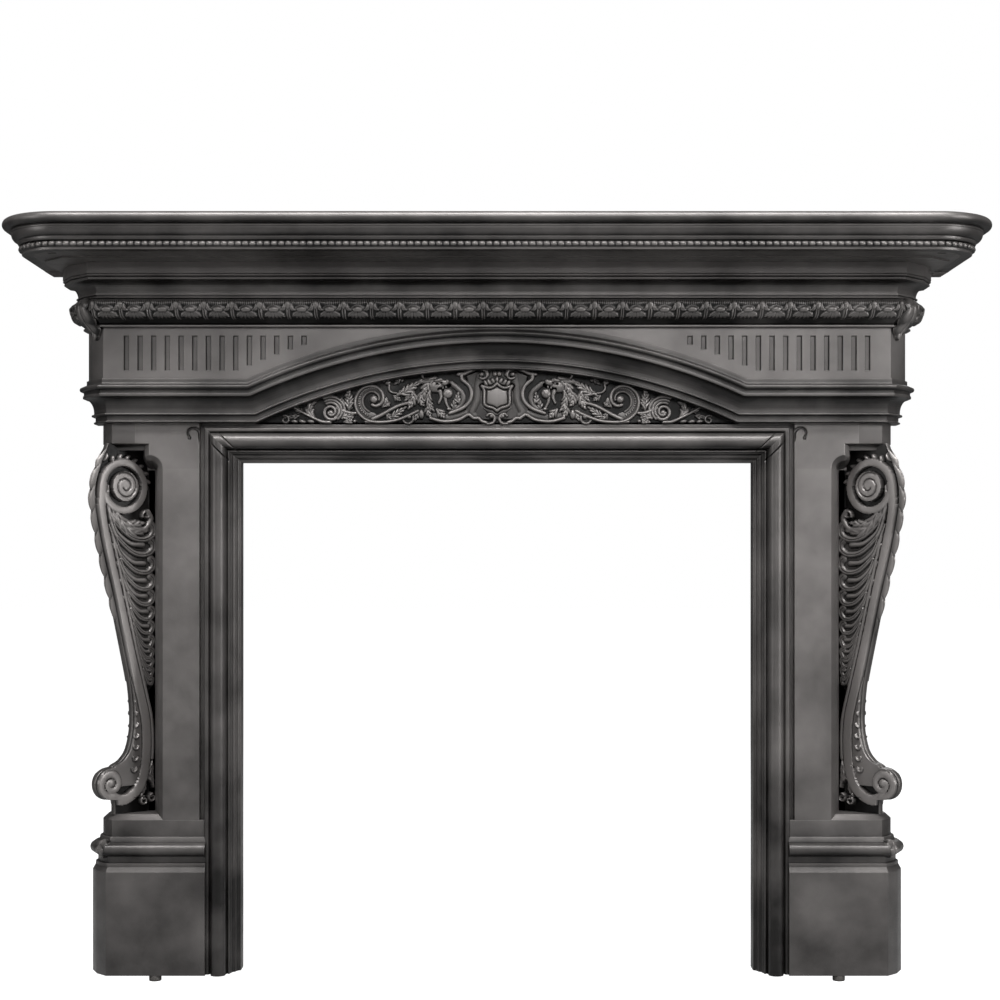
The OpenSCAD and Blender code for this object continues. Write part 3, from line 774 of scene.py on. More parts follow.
def great_volute(r):
    """The large volute, with a stippled band between two rims and a knob at its centre, and the
    stems and leaves between it and the beast."""
    centre = np.array([219, 41.5])
    band = coil(centre, 30, 16, -88, 270, 60)
    r.stroke(band, 6.0, 3.4, 2.2, base=2.8, flat=0.25)
    r.stroke(coil(centre, 39, 9, -92, 372, 90), 2.1, 2.6, 5.0, base=4.5)
    r.stroke(coil(centre, 22, 10, -70, 250, 60), 1.5, 1.5, 4.0, base=3.8)
    for k in range(26):
        r.dome(band[4 + 2 * k], 1.7, 1.7, 1.6, base=5.0)
    r.dome(centre + [-1, 1], 7.0, 7.0, 6.5, base=4.0)
    r.stem([[232, 3], [206, 2], [180, 5], [156, 14], [140, 22]], 2.6, 2.4, 5.0, base=3.5)
    r.stem([[220, 8], [206, 14], [192, 22], [172, 32], [152, 37]], 3.2, 2.4, 5.0, base=3.8)
    r.leaf([[196, 20], [190, 11], [180, 8]], 5, 5, 3, base=2)
    r.leaf([[204, 28], [196, 34], [188, 36]], 4.5, 5, 3, base=2)
    r.leaf([[188, 10], [176, 18], [160, 30]], 6, 5.5, 4, base=2.5)
    r.leaf([[176, 52], [162, 56], [148, 66], [132, 78]], 8, 6.5, 5, base=3)
    r.leaf([[184, 50], [176, 44], [170, 40]], 5, 5, 3, base=2)
    r.leaf([[196, 46], [196, 36], [190, 30]], 5, 5.5, 2, base=2)
    r.leaf([[150, 58], [148, 46], [152, 34], [158, 24]], 7, 6.5, 4, base=3)
    r.leaf([[162, 60], [158, 48], [164, 38]], 5, 5, 3, base=2.5)
    r.dome((193, 72), 5.6, 5.0, 6.0, base=2.0)
    r.dome((200, 76), 3.4, 4.4, 4.5, base=2.0, turn=30)
    r.stem([[191, 68], [191, 60], [186, 55], [176, 53]], 2.2, 1.7, 4.5, base=2.5)
    r.dome((156, 12), 5.0, 5.0, 6.5, base=2.0)
    r.stroke(coil((158, 9), 10.0, 8.6, 150, 230, 30), 2.0, 1.8, 4.0, base=2.0)
    r.leaf([[146, 24], [142, 14], [146, 4]], 5, 5, 3, base=2)
    r.dome((168, 76), 3.0, 3.6, 4.0, base=1.5)
    r.leaf([[172, 84], [176, 74], [184, 68]], 3.6, 4, 2, base=1.0)


def outer_sprays(r):
    """The ribbed volute with the flowers beside it, and the sprays that run out to the end."""
    centre = np.array([294, 20])
    for k, (radius, sweep) in enumerate(((26, 150), (20.5, 165), (15.5, 175))):
        rib = coil(centre + [0, 1.5], radius, radius - 2, 62, sweep, 30)
        r.stroke(rib, 2.4, 2.2, 4.0, base=3.5 + 0.6 * k)
    r.stroke(coil(centre, 14, 4.5, 230, 470, 60), 2.6, 2.2, 4.5, base=4.5)
    r.dome(centre + [0, -1], 4.8, 4.8, 5.5, base=4.5)
    r.stem([[296, 2], [310, 3], [326, 10], [342, 18], [356, 26], [366, 30]], 3.0, 1.4,
             5.0, base=2.8)
    r.leaf([[322, 8], [331, 20], [330, 32], [320, 38]], 6.5, 5.5, 3, base=2.5)
    r.leaf([[346, 18], [350, 22], [364, 30]], 4.5, 5, 3, base=2)
    r.leaf([[350, 14], [360, 12], [374, 12]], 4.5, 4.5, 3, base=1.5)
    for x in (330, 345, 359):
        r.dome((x, 3.4), 6.8, 3.6, 5.0, base=1.5, turn=10)
    r.stroke(coil((375, 6.5), 7.5, 3.0, 60, 400, 30), 1.9, 1.5, 4.0, base=2.0)
    r.stem([[283, 27], [270, 21], [258, 18], [250, 18]], 3.4, 2.4, 4.8, base=3.0)
    r.leaf([[276, 10], [264, 12], [252, 17]], 5, 5.5, 3, base=2.5)
    r.leaf([[272, 2], [262, 5], [254, 12]], 4.5, 5, 3, base=2)
    r.leaf([[262, 22], [262, 36], [262, 48], [266, 58]], 8, 6, 5, base=2)
    r.leaf([[270, 28], [274, 38], [276, 46]], 5, 5, 3, base=2)
    for x, z in ((267, 50), (262, 56), (260, 44), (259, 36)):
        r.dome((x, z), 3.4, 3.4, 4.0, base=4.0)
    for x, z in ((252, 4), (259, 1.5), (266, 5)):
        r.dome((x, z), 3.6, 3.2, 4.5, base=2.5)


def tympanum():
    """The right half of the tympanum: columns from the lintel up to the arch, whose depth is the
    floor plus the height of the carving."""
    columns, rows, end, boldness = 560, 106, 428.0, 1.22
    x = np.linspace(0, end, columns)
    low, high = jamb_h - 1.5, arc_top(x, band_h - 4)
    share = np.linspace(0, 1, rows)[None, :]
    u = np.broadcast_to(x[:, None], (columns, rows))
    z = low + (np.maximum(high, low + 2)[:, None] - low) * share
    relief = Relief(u, z - jamb_h, full=boldness)
    for carve in (cartouche, beast, great_volute, outer_sprays):
        carve(relief)
    h = relief.h
    d = np.hstack([floor_d + h, np.full((columns, 2), floor_d - wall)])
    z = np.hstack([z, z[:, -1:], z[:, :1]])
    # Painted shade with some rubbing: the tone rises with the carving's height, dark on the floor and
    # low parts, light on the high spots.
    tone = np.hstack([ramp(h - 1.2, 8), np.zeros((columns, 2))])
    return loft(grid(x[:, None], d, z), tone)


# ---- Leaf band and corner leaves ----


def band_motif(s, w):
    """Height of the leaf band's carving at a distance s along it and w down it: fine reeds above, a
    tilted bud with spreading leaves, and a small leaf on two stems between the buds."""
    pitch = 48.4
    u = np.abs((s + pitch / 2) % pitch - pitch / 2)
    r = Relief(u, w)
    r.h += 1.6
    r.h -= 1.0 * np.abs(np.cos(math.pi * s / 3.35)) ** 2 * ramp(w - 9, 2)
    r.h *= ramp(26 - 0.25 * u - w, 5)
    r.dome((0, 29), 8.0, 4.6, 2.2, base=1.6, turn=12)
    r.dome((0, 29), 12.5, 8.0, 1.6, base=0.3)
    for tip in ((4, 48), (11, 47), (17.5, 43)):
        r.leaf([(1.5 + 0.25 * tip[0], 33), (0.7 * tip[0], 38), tip], 3.6, 2.4, 1, base=0.2)
    r.leaf([(11, 31), (17, 28), (18, 19)], 3.4, 2.4, 1, base=0.4)
    r.dome((24.2, 22), 4.6, 7.5, 2.6, base=0.8)
    r.stroke([[22.3, 26], [22.3, 50]], 1.5, 1.5, 1.8, base=0.3)
    return r.h


def leaf_band():
    """The carved round under the cornice: its profile goes out along its own normal by the
    height of the carving."""
    edge = outline([(16, 66), (24.5, 66), (31.5, 75, ROUND), (20, 98, ROUND), (8, 106.5)], 12)
    step = run_length(edge)
    fine = np.linspace(0, step[-1], 46)
    edge = np.stack([np.interp(fine, step, edge[:, 0]), np.interp(fine, step, edge[:, 1])], 1)
    normal = unit_normals(edge)
    base, out = dense(*both_sides(*body_corners()), 1.15)
    s = run_length(base + 26 * out)
    s -= s[-1] / 2
    grid_s, grid_w = np.meshgrid(s, fine, indexing="ij")
    carve = band_motif(grid_s, grid_w) * ramp(fine - 5, 5)
    carve *= ramp(fine[-1] - fine, 4)
    lift = carve - 1.2 * ramp(fine - 18, 4)
    p = edge[:, 0] + lift * normal[:, 0]
    z = edge[:, 1] + lift * normal[:, 1]
    count = len(s)
    p = np.hstack([p, np.full((count, 1), 2.0), np.full((count, 1), 2.0)])
    z = np.hstack([z, np.full((count, 1), 106.5), np.full((count, 1), 66.0)])
    # Painted light and shade: the plain top strip is lighter, and the carving lighter where it stands
    # high and darker low, with some rubbing on the high spots.
    smooth = ramp(15 - fine, 5)
    tone = np.hstack([np.clip(0.2 + (carve - 0.5) / 4.5 + 0.4 * smooth, 0, 1), np.zeros((count, 2))])
    return loft(swept(p, soffit_z - z, (base, out)), tone)


def corner_leaf(spine, half_width, rise, lobes):
    """An acanthus leaf over the 45 degree corner. Its spine (projection, height) lies on the
    mouldings; across, the half width follows sin(pi t) with lobes, and the blade is domed with
    veins that slant from the midrib."""
    base = body_corners()[0]
    middle, outward, back = (base[2] + base[3]) / 2, np.array([1, 1]) / math.sqrt(2), 5.0
    across = np.array([1, -1]) / math.sqrt(2)
    line = smooth_line(spine, 12)
    t = np.linspace(0, 1, len(line))[:, None]
    k = np.linspace(-1, 1, 31)[None, :]
    wave = np.abs(np.sin(math.pi * lobes * (t - 0.12 * np.abs(k))))
    w = half_width * np.sin(math.pi * (0.16 + 0.84 * t)) ** 0.7 * (0.74 + 0.3 * wave) + 0.5
    dome = rise * (1 - np.abs(k) ** 2.2) * (0.62 + 0.38 * wave) - 0.35 * rise * np.exp(-(k / 0.09) ** 2)
    normal = unit_normals(line)
    normal *= np.where(normal[:, :1].sum() < 0, -1, 1)
    p = line[:, :1] + (dome + 0.6) * normal[:, :1]
    z = line[:, 1:] + (dome + 0.6) * normal[:, 1:]
    droop = 0.32 * np.maximum(np.abs(w * k) - 12, 0)
    reach = p - droop
    x = middle[0] + outward[0] * reach + across[0] * w * k
    d = middle[1] + outward[1] * reach + across[1] * w * k
    front = grid(x, d, z)
    rear = front - back * np.array([outward[0], -outward[1], 0])
    # Painted shade with some rubbing: the blade is lighter on its domed middle and darker towards its
    # edges and on its back.
    tone = np.hstack([np.clip(dome / rise, 0, 1), np.zeros(dome.shape)])
    return loft(np.concatenate([front, rear[:, ::-1]], 1), tone)


def corner_leaves():
    """Leaves over the leaf band and over the plinth's torus, on the right."""
    top = soffit_z
    over_band = [(17, top - 62), (29, top - 67), (35, top - 78), (27, top - 98), (14, top - 110),
                 (7, top - 122), (4, top - 132)]
    torus_z = 221.5
    over_torus = [(-17, torus_z + 15), (-9, torus_z + 11), (-2.6, torus_z + 1), (-6, torus_z - 9),
                  (-15, torus_z - 14)]
    return {"frieze": [corner_leaf(over_band, 21, 4.0, 4)],
            "jamb": [corner_leaf(over_torus, 15, 3.0, 3)]}


# ---- Jambs ----


def plinth():
    """Plinth, cap and low block, round the corner and along the front to the frame."""
    torus = 182
    members = [(-7, 0), (-7, torus), (-12, torus + 9), (-12, torus + 15), (-16, torus + 16),
               (-16, torus + 27), (-14, torus + 28), (-14, torus + 51, BEAD), (-18, torus + 52),
               (-20, torus + 61), (face, torus + 61), (face, ledge_z - ledge_t),
               (face - wall, ledge_z - ledge_t),
               (face - wall, torus + 30), (-26, torus + 18), (-26, torus), (-22, torus - 12), (-22, 0)]
    return loft(wrap(eased(outline(members, 12), 0.9), to_front(groove_x - 3)), plinth_painted_shade)


def low_ledge():
    """The ledge under the bracket, with a chamfer that mitres into the pilaster's."""
    low = ledge_z - ledge_t
    edge = np.array([[face, low], [face - chamfer, ledge_z], [face - chamfer, low]])
    base, out = to_front(face_x)
    top = np.vstack([[face_x, 0], base + (face - chamfer) * out])
    return [loft(wrap(edge, (base, out))), slab(top, low, ledge_z)]


def pilaster():
    """The plain face between groove and recess, with a chamfer and a slanting wall to the back."""
    d = pilaster_d
    ring = np.array([[pilaster_x, 35], [pilaster_x, d], [face_x, d], [face_x + chamfer, d - chamfer],
                     [face_x + 25, 1], [face_x + 17, 1], [face_x + 4, d - 14],
                     [face_x - 4, d - wall], [pilaster_x + wall, d - wall], [pilaster_x + wall, 35]])
    return slab(ring, ledge_z - ledge_t, corner_z, face_painted_light)


def hook(u, v):
    """The incised hook that curls from the top of the groove: a line and three quarters of a
    spiral turn."""
    r = Relief(u, v)
    line = coil((pilaster_x + 12, jamb_h - 18.5), 12.5, 7.5, 180, -215, 26)
    line = np.vstack([[pilaster_x - 1, jamb_h - 30], line])
    r.stroke(line, 2.9, 2.2, 5.0, flat=0.35)
    r.dome((pilaster_x + 17.5, jamb_h - 26.5), 3.4, 3.4, 5.0)
    return r.h


def recess_corner():
    """The top of the pilaster as a height field. The depth falls with the distance from the
    recess's edge: a chamfer, then a steep wall. The incised hook is cut into the face."""
    x = np.linspace(pilaster_x, face_x + 49, 116)
    above = np.linspace(recess_z + 0.4, jamb_h, 34)
    z = np.concatenate([np.linspace(corner_z, recess_z, 41), above])
    u, v = np.meshgrid(x, z, indexing="ij")
    cx, cz = face_x + corner_r, corner_z
    steep_w, steep_d = 12.3, 48
    arc = corner_r - np.hypot(u - cx, v - cz)
    corner = np.hypot(u - cx, v - (cz + corner_r))
    dist = np.where(u <= cx, np.where(v < cz + corner_r, np.maximum(arc, 0), 0),
                    np.where(v < cz + corner_r, corner, u - cx))
    dist = np.where(v > recess_z + 0.2, 0, dist)
    fall = np.minimum(dist, chamfer) + np.clip(dist - chamfer, 0, steep_w) * (steep_d / steep_w)
    d = np.maximum(pilaster_d - fall, 2.0) - hook(u, v)
    d = np.hstack([d, np.full((len(x), 2), 1.0)])
    v = np.hstack([v, v[:, -1:], v[:, :1]])
    return loft(grid(x[:, None], d, v), face_painted_light)


def head_block():
    """The block over the recess, with a hollow under it and the recess's ceiling behind."""
    block = np.array([[face, recess_z + 0.4], [face, jamb_h], [face - wall, jamb_h],
                      [face - wall, recess_z + 0.4]])
    members = [(face, recess_z + 0.4), (face - 2, recess_z - 1), (face - 13, recess_z - 11, HOLLOW),
               (face - 22, recess_z - 11), (face - 22, recess_z + 0.4)]
    under = outline(members)
    base, out = to_front(face_x)
    ceiling = np.vstack([[face_x, 0], base + (face - 9) * out])
    return [loft(wrap(eased(block), to_front(face_x + 49))), loft(wrap(under, to_front(face_x + 24))),
            slab(ceiling, recess_z - 0.5, recess_z + 6)]


def groove_floor():
    """The floor of the groove between frame and pilaster."""
    return panel(oblong(groove_x - 5, pilaster_x + wall, 1, jamb_h + 12), 35, 42)


def jamb_shells():
    """All that is moulded on the right jamb."""
    return [plinth(), *low_ledge(), pilaster(), recess_corner(), *head_block(), groove_floor(),
            jamb_frame()]


# ---- Brackets ----

bracket_x = half_body - 48
bracket_d = 49.3
volute = np.array([-14.0, recess_z - 76])
foot_volute = np.array([12.0, ledge_z + 55])


def bracket_edge(z):
    """How far the bracket reaches at height z: a smooth line through its bulge and its waist,
    and a circle round the foot volute."""
    knots = np.array([[302, 0], [330, 8], [363, 8], [375, -12], [392, -27], [418, -35], [445, -37.7],
                      [480, -36], [517, -31], [572, -18.7], [625, -6.2], [670, 4], [732, 20.6],
                      [776, 30.8], [815, 38.5], [847, 42], [876, 38], [902, 28.9], [922, 20],
                      [recess_z, 14]])
    fine = smooth_line(knots, 6)
    edge = np.interp(z, fine[:, 0], fine[:, 1])
    lift = np.sqrt(np.maximum(28.0 ** 2 - (z - foot_volute[1]) ** 2, 0))
    return np.where(lift > 0, np.maximum(edge, foot_volute[0] + lift), edge)


def bracket_relief(s, z):
    """Carving of a bracket's side: a ribbon from the great volute, with its spiral disc, down to
    the foot volute, nested scallops behind it, crescents on its front band and leaves at the foot."""
    r = Relief(s, z, -5.0)
    stem = smooth_line([volute + [43, 4], [31, 815], [17, 750], [-5, 661], [-27, 572], [-46, 500],
                        [-59, 446], [-61, 392], [-55, 347], [-41, 321], [-13, 306], [12, 313]], 6)

    def ribbon(height):
        """Where the ribbon's middle lies at a height."""
        return np.interp(height, stem[::-1, 1], stem[::-1, 0])

    front = np.clip((s - (ribbon(z) + 7)) / 3, 0, 1)
    below = ramp(volute[1] - 6 - z, 30) * (z > 330)
    r.h = np.maximum(r.h, -5 + 8.0 * front * below)
    r.stroke(stem, 7.6, 9.6, 2.0, base=4.2, flat=0.16)
    inner = stem - [14.5, 0]
    r.stroke(inner[10:-22], 3.2, 3.2, 2.6, base=2.0)
    behind = np.clip((ribbon(z) - 12 - s) / 3, 0, 1)
    r.h = np.maximum(r.h, -5 + 5.5 * behind * ramp(z - 500, 8) * ramp(800 - z, 8))
    bottoms, right = [768, 741, 709, 679, 652, 625, 600, 576, 556, 540, 524, 508], -80.0
    for k, low in enumerate(bottoms):
        size = 1 - 0.05 * k
        limb = ribbon(low + 40 * size) - 19
        start = ribbon(low + 95 * size) - 11
        loop = smooth_line([[start, low + 95 * size], [limb + 6 * size, low + 58 * size],
                            [limb - 8 * size, low + 32 * size],
                            [0.55 * limb + 0.45 * right, low + 6 * size],
                            [0.25 * limb + 0.75 * right, low + 1], [right + 5, low + 9 * size],
                            [right + 3, low + 22 * size], [right + 9, low + 29 * size]], 6)
        r.stroke(loop, 2.6 * size, 8.6 * size, 5.0 * size, base=0.2, flat=0.45)
        r.groove(loop[12:], 1.3, 1.6 * size)
        drop = smooth_line([[limb + 4 * size, low + 66 * size], [limb - 8 * size, low + 42 * size],
                            [0.6 * limb + 0.4 * right, low + 22 * size],
                            [0.3 * limb + 0.7 * right, low + 19 * size]], 5)
        r.stroke(drop, 1.6, 5.6 * size, 4.4 * size, base=0.6)
    leaf_line = smooth_line([[8, 812], [-14, 792], [-40, 784], [-62, 790], [-72, 806], [-66, 818]])
    r.stroke(leaf_line, 4.0, 6.0, 4.2, base=1.0)
    r.stroke(coil((-62, 813), 8.5, 3.5, -20, 330, 30), 2.6, 2.0, 4.0, base=1.5)
    r.leaf([[6, 822], [-14, 796], [-38, 782], [-70, 786]], 13, 6, 5, base=0)
    r.leaf([[-20, 800], [-40, 796], [-60, 800]], 8, 5.5, 3, base=0.5)
    r.stroke([volute, volute], 52, 52, 0.9, base=-6.5, flat=0.1)
    ring = coil(volute, 43.5, 41.5, 10, 330, 60)
    r.stroke(ring, 7.0, 6.6, 2.4, base=3.8, flat=0.22)
    disc = volute + [-3, 1]
    r.stroke([disc, disc], 27, 27, 1.8, base=4.4, flat=0.14)
    r.groove(coil(disc, 25, 6, 60, 620, 90), 1.7, 2.4)
    r.dome((24, 915), 8.5, 8.5, 6.5, base=-1.0)
    for k in range(7):
        a = math.radians(66 + 17 * k)
        r.dome(volute + 53 * np.array([math.cos(a), math.sin(a)]), 7.0, 3.6, 4.0, base=0.5,
               turn=math.degrees(a) + 40)
    foot = coil(foot_volute, 24, 8, 262, 470, 60)
    r.stroke(foot, 7.2, 5.0, 2.4, base=4.2, flat=0.25)
    r.dome(foot_volute + [1, 2], 7.5, 7.5, 3.2, base=5.0)
    for k in range(8):
        z0 = 500 - 20 * k
        line = ribbon(z0)
        r.stroke(coil((line + 20 + 0.4 * k, z0), 5.2, 5.2, 20, -190, 14), 0.8, 3.0, 4.2, base=2.4)
    r.leaf([[-52, 372], [-66, 346], [-78, 330]], 7, 5.5, 4, base=0)
    r.leaf([[-48, 350], [-56, 326], [-50, 308]], 7, 5.5, 4, base=0)
    r.leaf([[-74, 372], [-72, 350], [-78, 322]], 6, 5, 4, base=0.5)
    for centre in ((-57, 301), (-74, 305)):
        r.stroke(coil(centre, 7.5, 3.2, 90, -400, 30), 2.3, 1.9, 4.5, base=1.0)
    return r.h


def edge_leaf(z, share):
    """How far the leafy strip stands out from the bracket's edge: lobes along its upper part,
    dying out lower down, highest in the middle of the edge and split by a midrib."""
    upper = ramp(z - 600, 60) * ramp(930 - z, 20)
    lobes = 0.12 + 0.88 * np.abs(np.sin(math.pi * (z - 14 * np.abs(share)) / 38.7)) ** 0.6
    blade = np.clip(1 - np.abs(share) ** 3, 0, 1) * (1 - 0.35 * np.exp(-(share / 0.16) ** 2))
    return 7.5 * upper * lobes * blade


def bracket(step_z=1.55, columns=88):
    """The right bracket: at each height a ring runs along the carved side, round the outer edge
    and back along the plain side, in a plane at 45 degrees to the wall."""
    back, plane, least, edge_round = -90.0, 8.0, 6.0, 2.5
    count = int((recess_z - ledge_z) / step_z)
    z = np.linspace(ledge_z, recess_z, count)
    reach = bracket_edge(z)
    share = np.linspace(0, 1, columns)[None, :]
    s = back + (reach[:, None] - back) * share
    rows = np.broadcast_to(z[:, None], s.shape)
    h = plane + bracket_relief(s, rows)
    rim = ramp(reach[:, None] - s, 2.0)
    h = least + (h - least) * rim ** 0.5
    rear_s = s[:, ::-3]
    rear_h = h[:, ::-3]
    turn = np.linspace(0, math.pi, 13)[None, 1:-1]
    n_edge = np.cos(turn) * h[:, -1:]
    leafy = edge_leaf(z[:, None], np.cos(turn))
    edge_s = reach[:, None] + edge_round * np.sin(turn) + leafy
    s_all = np.hstack([s, edge_s, rear_s])
    n_all = np.hstack([h, n_edge, -rear_h])
    root = 1 / math.sqrt(2)
    x = bracket_x + root * (s_all - n_all)
    d = np.maximum(bracket_d + root * (s_all + n_all), 0.5)
    x = np.maximum(x, face_x + 19)
    # Painted light and shade with some rubbing: lighter where the carving stands high and darker low;
    # on the outer edge lighter on the lobes and darker in the notches.
    tone = np.hstack([ramp(h - 5.5, 8.5), np.clip(0.4 + 0.1 * leafy, 0, 1),
                      ramp(rear_h - 5.5, 8.5)])
    return loft(grid(x, d, z[:, None]), tone)


# ---- Feet ----


def foot():
    """A round lug under the plinth: a turned profile."""
    r = np.array([lug_r - 1.0, lug_r - 0.2, lug_r - 0.2, lug_r - 0.8])
    z = np.array([-lug_drop, -lug_drop + 1.2, -1.5, 0.0])
    a = np.linspace(0, 2 * math.pi, 40, endpoint=False)
    x = lug_x + r[:, None] * np.cos(a)
    d = lug_d + r[:, None] * np.sin(a)
    return loft(grid(x, d, z[:, None]))


# ---- Iron ----


def new_group(name, inputs, outputs):
    """A shader node group with its input and output nodes. Sockets are given as name: kind."""
    tree = bpy.data.node_groups.new(name, "ShaderNodeTree")
    for way, sockets in (("INPUT", inputs), ("OUTPUT", outputs)):
        for word, kind in sockets.items():
            tree.interface.new_socket(name=word, in_out=way, socket_type="NodeSocket" + kind)
    return tree, tree.nodes.new("NodeGroupInput"), tree.nodes.new("NodeGroupOutput")


def shader_node(tree, kind, values):
    """A shader node with the values of its inputs, given as name: value."""
    made = tree.nodes.new("ShaderNode" + kind)
    for word, value in values.items():
        made.inputs[word].default_value = value
    return made


def sum_node(tree, operation, *terms):
    """The result of a math node, whose terms are numbers or other nodes' outputs."""
    made = tree.nodes.new("ShaderNodeMath")
    made.operation = operation
    for entry, term in zip(made.inputs, terms):
        if isinstance(term, float):
            entry.default_value = term
        else:
            tree.links.new(term, entry)
    return made.outputs["Value"]


def cast_grain_group():
    """Sand-cast grain: fine and coarse noise with scattered pits. Height for a bump, Mottle for
    colour, Sheen for roughness."""
    g, into, out = new_group("sand_cast_grain", {"Fine": "Float", "Pits": "Float"},
                             {"Height": "Float", "Mottle": "Float", "Sheen": "Float"})
    link = g.links.new
    place = shader_node(g, "TexCoord", {})
    grain = shader_node(g, "TexNoise", {"Detail": 4})
    cloud = shader_node(g, "TexNoise", {"Scale": 9, "Detail": 6})
    streak = shader_node(g, "TexNoise", {"Scale": 45, "Detail": 3})
    pits = shader_node(g, "TexVoronoi", {"Scale": 130})
    for node in (grain, cloud, streak, pits):
        link(place.outputs["Object"], node.inputs["Vector"])
    link(into.outputs["Fine"], grain.inputs["Scale"])
    dent = shader_node(g, "MapRange", {"From Min": 0.05, "From Max": 0.17})
    link(pits.outputs["Distance"], dent.inputs["Value"])
    deep = sum_node(g, "MULTIPLY", dent.outputs["Result"], into.outputs["Pits"])
    link(sum_node(g, "ADD", grain.outputs["Fac"], deep), out.inputs["Height"])
    link(cloud.outputs["Fac"], out.inputs["Mottle"])
    link(streak.outputs["Fac"], out.inputs["Sheen"])
    return g


def blacking_group():
    """Blacking with painted shade and light: the colour goes from the hollow's to the light one with
    the relief plus the mottle less a half, held between 0 and 1. The relief holds painted shade and
    painted light as well as rubbing."""
    g, into, out = new_group("blacking_with_painted_shade", {"Hollow": "Color", "Lit_and_rubbed": "Color", "Relief": "Float",
                                               "Mottle": "Float"}, {"Color": "Color"})
    link = g.links.new
    spread = sum_node(g, "MULTIPLY_ADD", into.outputs["Mottle"], 1.0, -0.5)
    worn_and_shaded = sum_node(g, "ADD", into.outputs["Relief"], spread)
    worn_and_shaded.node.use_clamp = True
    mix = shader_node(g, "Mix", {})
    mix.data_type = "RGBA"
    link(worn_and_shaded, mix.inputs["Factor"])
    link(into.outputs["Hollow"], mix.inputs["A"])
    link(into.outputs["Lit_and_rubbed"], mix.inputs["B"])
    link(mix.outputs["Result"], out.inputs["Color"])
    return g


def iron(name, hollow, rubbed_and_lit, rough, fine, pits, bump):
    """Black-leaded cast iron. The roughness goes from 0.08 below rough to 0.12 above it."""
    m = bpy.data.materials.new(name)
    m.use_nodes = True
    tree, link = m.node_tree, m.node_tree.links.new
    skin = tree.nodes["Principled BSDF"]
    skin.inputs["Metallic"].default_value = 0.55
    grain, black = tree.nodes.new("ShaderNodeGroup"), tree.nodes.new("ShaderNodeGroup")
    grain.node_tree, black.node_tree = GRAIN, BLACKING
    grain.inputs["Fine"].default_value = fine
    grain.inputs["Pits"].default_value = pits
    # The colour runs from the hollow colour to the light one with the relief value: painted shade and
    # painted light besides rubbing.
    black.inputs["Hollow"].default_value = (*hollow, 1)
    black.inputs["Lit_and_rubbed"].default_value = (*rubbed_and_lit, 1)
    relief = shader_node(tree, "Attribute", {})
    relief.attribute_name = "relief"
    link(relief.outputs["Fac"], black.inputs["Relief"])
    link(grain.outputs["Mottle"], black.inputs["Mottle"])
    link(black.outputs["Color"], skin.inputs["Base Color"])
    sheen = shader_node(tree, "MapRange", {"To Min": rough - 0.08, "To Max": rough + 0.12})
    link(grain.outputs["Sheen"], sheen.inputs["Value"])
    link(sheen.outputs["Result"], skin.inputs["Roughness"])
    rise = shader_node(tree, "Bump", {"Strength": bump, "Distance": 0.0006})
    link(grain.outputs["Height"], rise.inputs["Height"])
    link(rise.outputs["Normal"], skin.inputs["Normal"])
    return m


def floor_finish():
    """The floor: matt mid-grey to the light, with a white glow that only the camera sees."""
    grey, rough = 0.42, 0.9
    m = bpy.data.materials.new("pale_floor")
    m.use_nodes = True
    skin = m.node_tree.nodes["Principled BSDF"]
    path = shader_node(m.node_tree, "LightPath", {})
    m.node_tree.links.new(path.outputs["Is Camera Ray"], skin.inputs["Emission Color"])
    skin.inputs["Emission Strength"].default_value = 1.0
    skin.inputs["Base Color"].default_value = (grey, grey, grey, 1)
    skin.inputs["Roughness"].default_value = rough
    return m


# ---- Studio ----


def studio():
    """A plain room that shows white to the camera and lights the iron faintly, the floor, and soft
    boxes above, in front, behind and at both sides."""
    lit, seen = 0.06, 1.0
    scene = bpy.context.scene
    scene.view_settings.view_transform = "Standard"
    world = bpy.data.worlds.new("studio")
    world.use_nodes = True
    scene.world = world
    n, link = world.node_tree.nodes, world.node_tree.links.new
    path = shader_node(world.node_tree, "LightPath", {})
    level = shader_node(world.node_tree, "MapRange", {"To Min": lit, "To Max": seen})
    link(path.outputs["Is Camera Ray"], level.inputs["Value"])
    link(level.outputs["Result"], n["Background"].inputs["Strength"])
    n["Background"].inputs["Color"].default_value = (1, 1, 1, 1)
    ground = bpy.data.meshes.new("floor")
    size, low = 30.0, hearth - lug_drop * MM
    corners = [(-size, -size, low), (size, -size, low), (size, size, low), (-size, size, low)]
    ground.from_pydata(corners, [], [(0, 1, 2, 3)])
    floor = bpy.data.objects.new("floor", ground)
    ground.materials.append(floor_finish())
    scene.collection.objects.link(floor)
    soft_box("overhead", (0, -1.5, 1.9), 3.4, 1.0, 165, (0, -0.05, -0.2))
    soft_box("front", (0.4, -4.0, 1.1), 2.8, 1.4, 54, (0, 0, -0.4))
    soft_box("behind", (0.8, 3.2, 1.3), 2.6, 1.4, 45, (0, 0, -0.4))
    soft_box("left_strip", (-2.4, -1.5, 0.0), 0.6, 1.6, 15, (-0.3, 0, -0.5))
    soft_box("right_strip", (2.4, -1.5, 0.0), 0.6, 1.6, 34, (0.3, 0, -0.5))


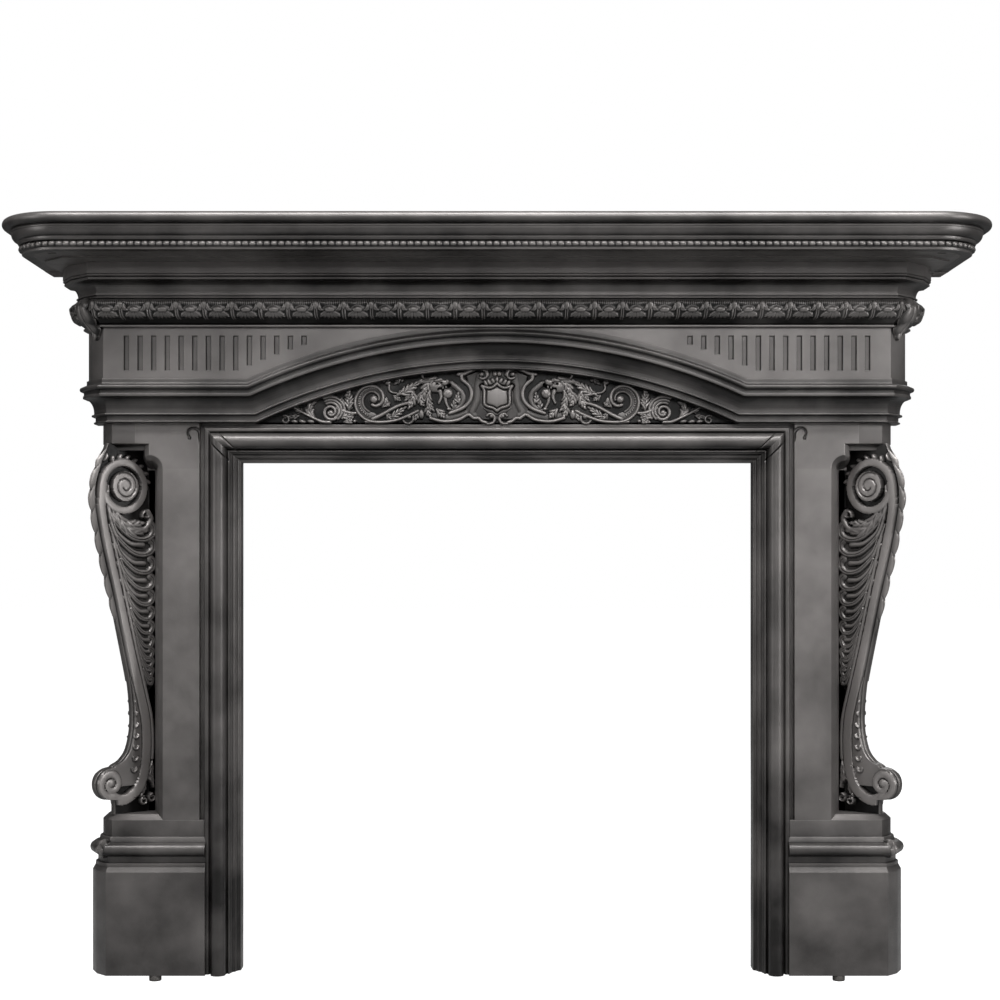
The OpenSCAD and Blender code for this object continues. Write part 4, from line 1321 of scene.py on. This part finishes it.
def soft_box(name, place, wide, high, watts, target):
    """An oblong area light at a place in metres, turned to face its target."""
    light = bpy.data.lights.new(name, "AREA")
    light.shape = "RECTANGLE"
    light.size, light.size_y, light.energy = wide, high, watts
    obj = bpy.data.objects.new(name, light)
    bpy.context.scene.collection.objects.link(obj)
    aim = np.array(target, float) - np.array(place, float)
    obj.location = place
    obj.rotation_euler = (math.atan2(math.hypot(aim[0], aim[1]), -aim[2]), 0,
                          math.atan2(aim[0], -aim[1]) + math.pi)
    return obj


def camera():
    """The camera stands level before the middle, a little above half height."""
    distance, eye = 3.2454, 0.7146
    data = bpy.data.cameras.new("camera")
    data.lens, data.sensor_width = 64.8, 36
    data.shift_x, data.shift_y = 0.003, 0.07
    data.clip_end = 60
    obj = bpy.data.objects.new("camera", data)
    obj.location = (0, -distance, hearth + eye)
    obj.rotation_euler = (math.pi / 2, 0, 0)
    bpy.context.scene.collection.objects.link(obj)
    bpy.context.scene.camera = obj


# ---- Assembly ----

GRAIN = cast_grain_group()
BLACKING = blacking_group()
# Hollow colours are the painted shade end of each iron's tone; the second colours are its light end,
# for rubbing and painted light.
moulded = iron("moulded_iron", hollow=(0.008, 0.0073, 0.007), rubbed_and_lit=(0.21, 0.197, 0.191), rough=0.35,
               fine=900, pits=0.35, bump=0.35)
carved = iron("carved_iron", hollow=(0.004, 0.0037, 0.0035), rubbed_and_lit=(0.19, 0.178, 0.172), rough=0.33,
              fine=1100, pits=0.2, bump=0.25)
rough_iron = iron("lug_iron", hollow=(0.04, 0.036, 0.034), rubbed_and_lit=(0.09, 0.085, 0.08), rough=0.55,
                  fine=700, pits=0.8, bump=0.6)

piece("shelf_moulding", [shelf_rim(), shelf_top(), *shelf_soffit(), *shelf_bed()], "shelf",
      moulded)
piece("shelf_bead_row", [bead_strip()], "shelf", carved)
leaves = corner_leaves()
piece("frieze_moulding", [cornice(), frieze_face(), frieze_end(), mirrored(frieze_end()), arch_band(),
                          *lintel()], "frieze", moulded)
piece("frieze_leaf_band", [leaf_band(), *leaves["frieze"], *on_side("left", leaves["frieze"])],
      "frieze", carved)
for word in ("right", "left"):
    jamb = "jamb_" + word
    piece("tympanum_" + word, on_side(word, [tympanum()]), "frieze", carved)
    piece("jamb_moulding_" + word, on_side(word, jamb_shells()), jamb, moulded)
    piece("torus_leaf_" + word, on_side(word, leaves["jamb"]), jamb, carved)
    piece("bracket_scroll_" + word, on_side(word, [bracket()]), "bracket_" + word,
          carved)
    piece("foot_lug_" + word, on_side(word, [foot()]), "foot_" + word, rough_iron)

studio()
camera()
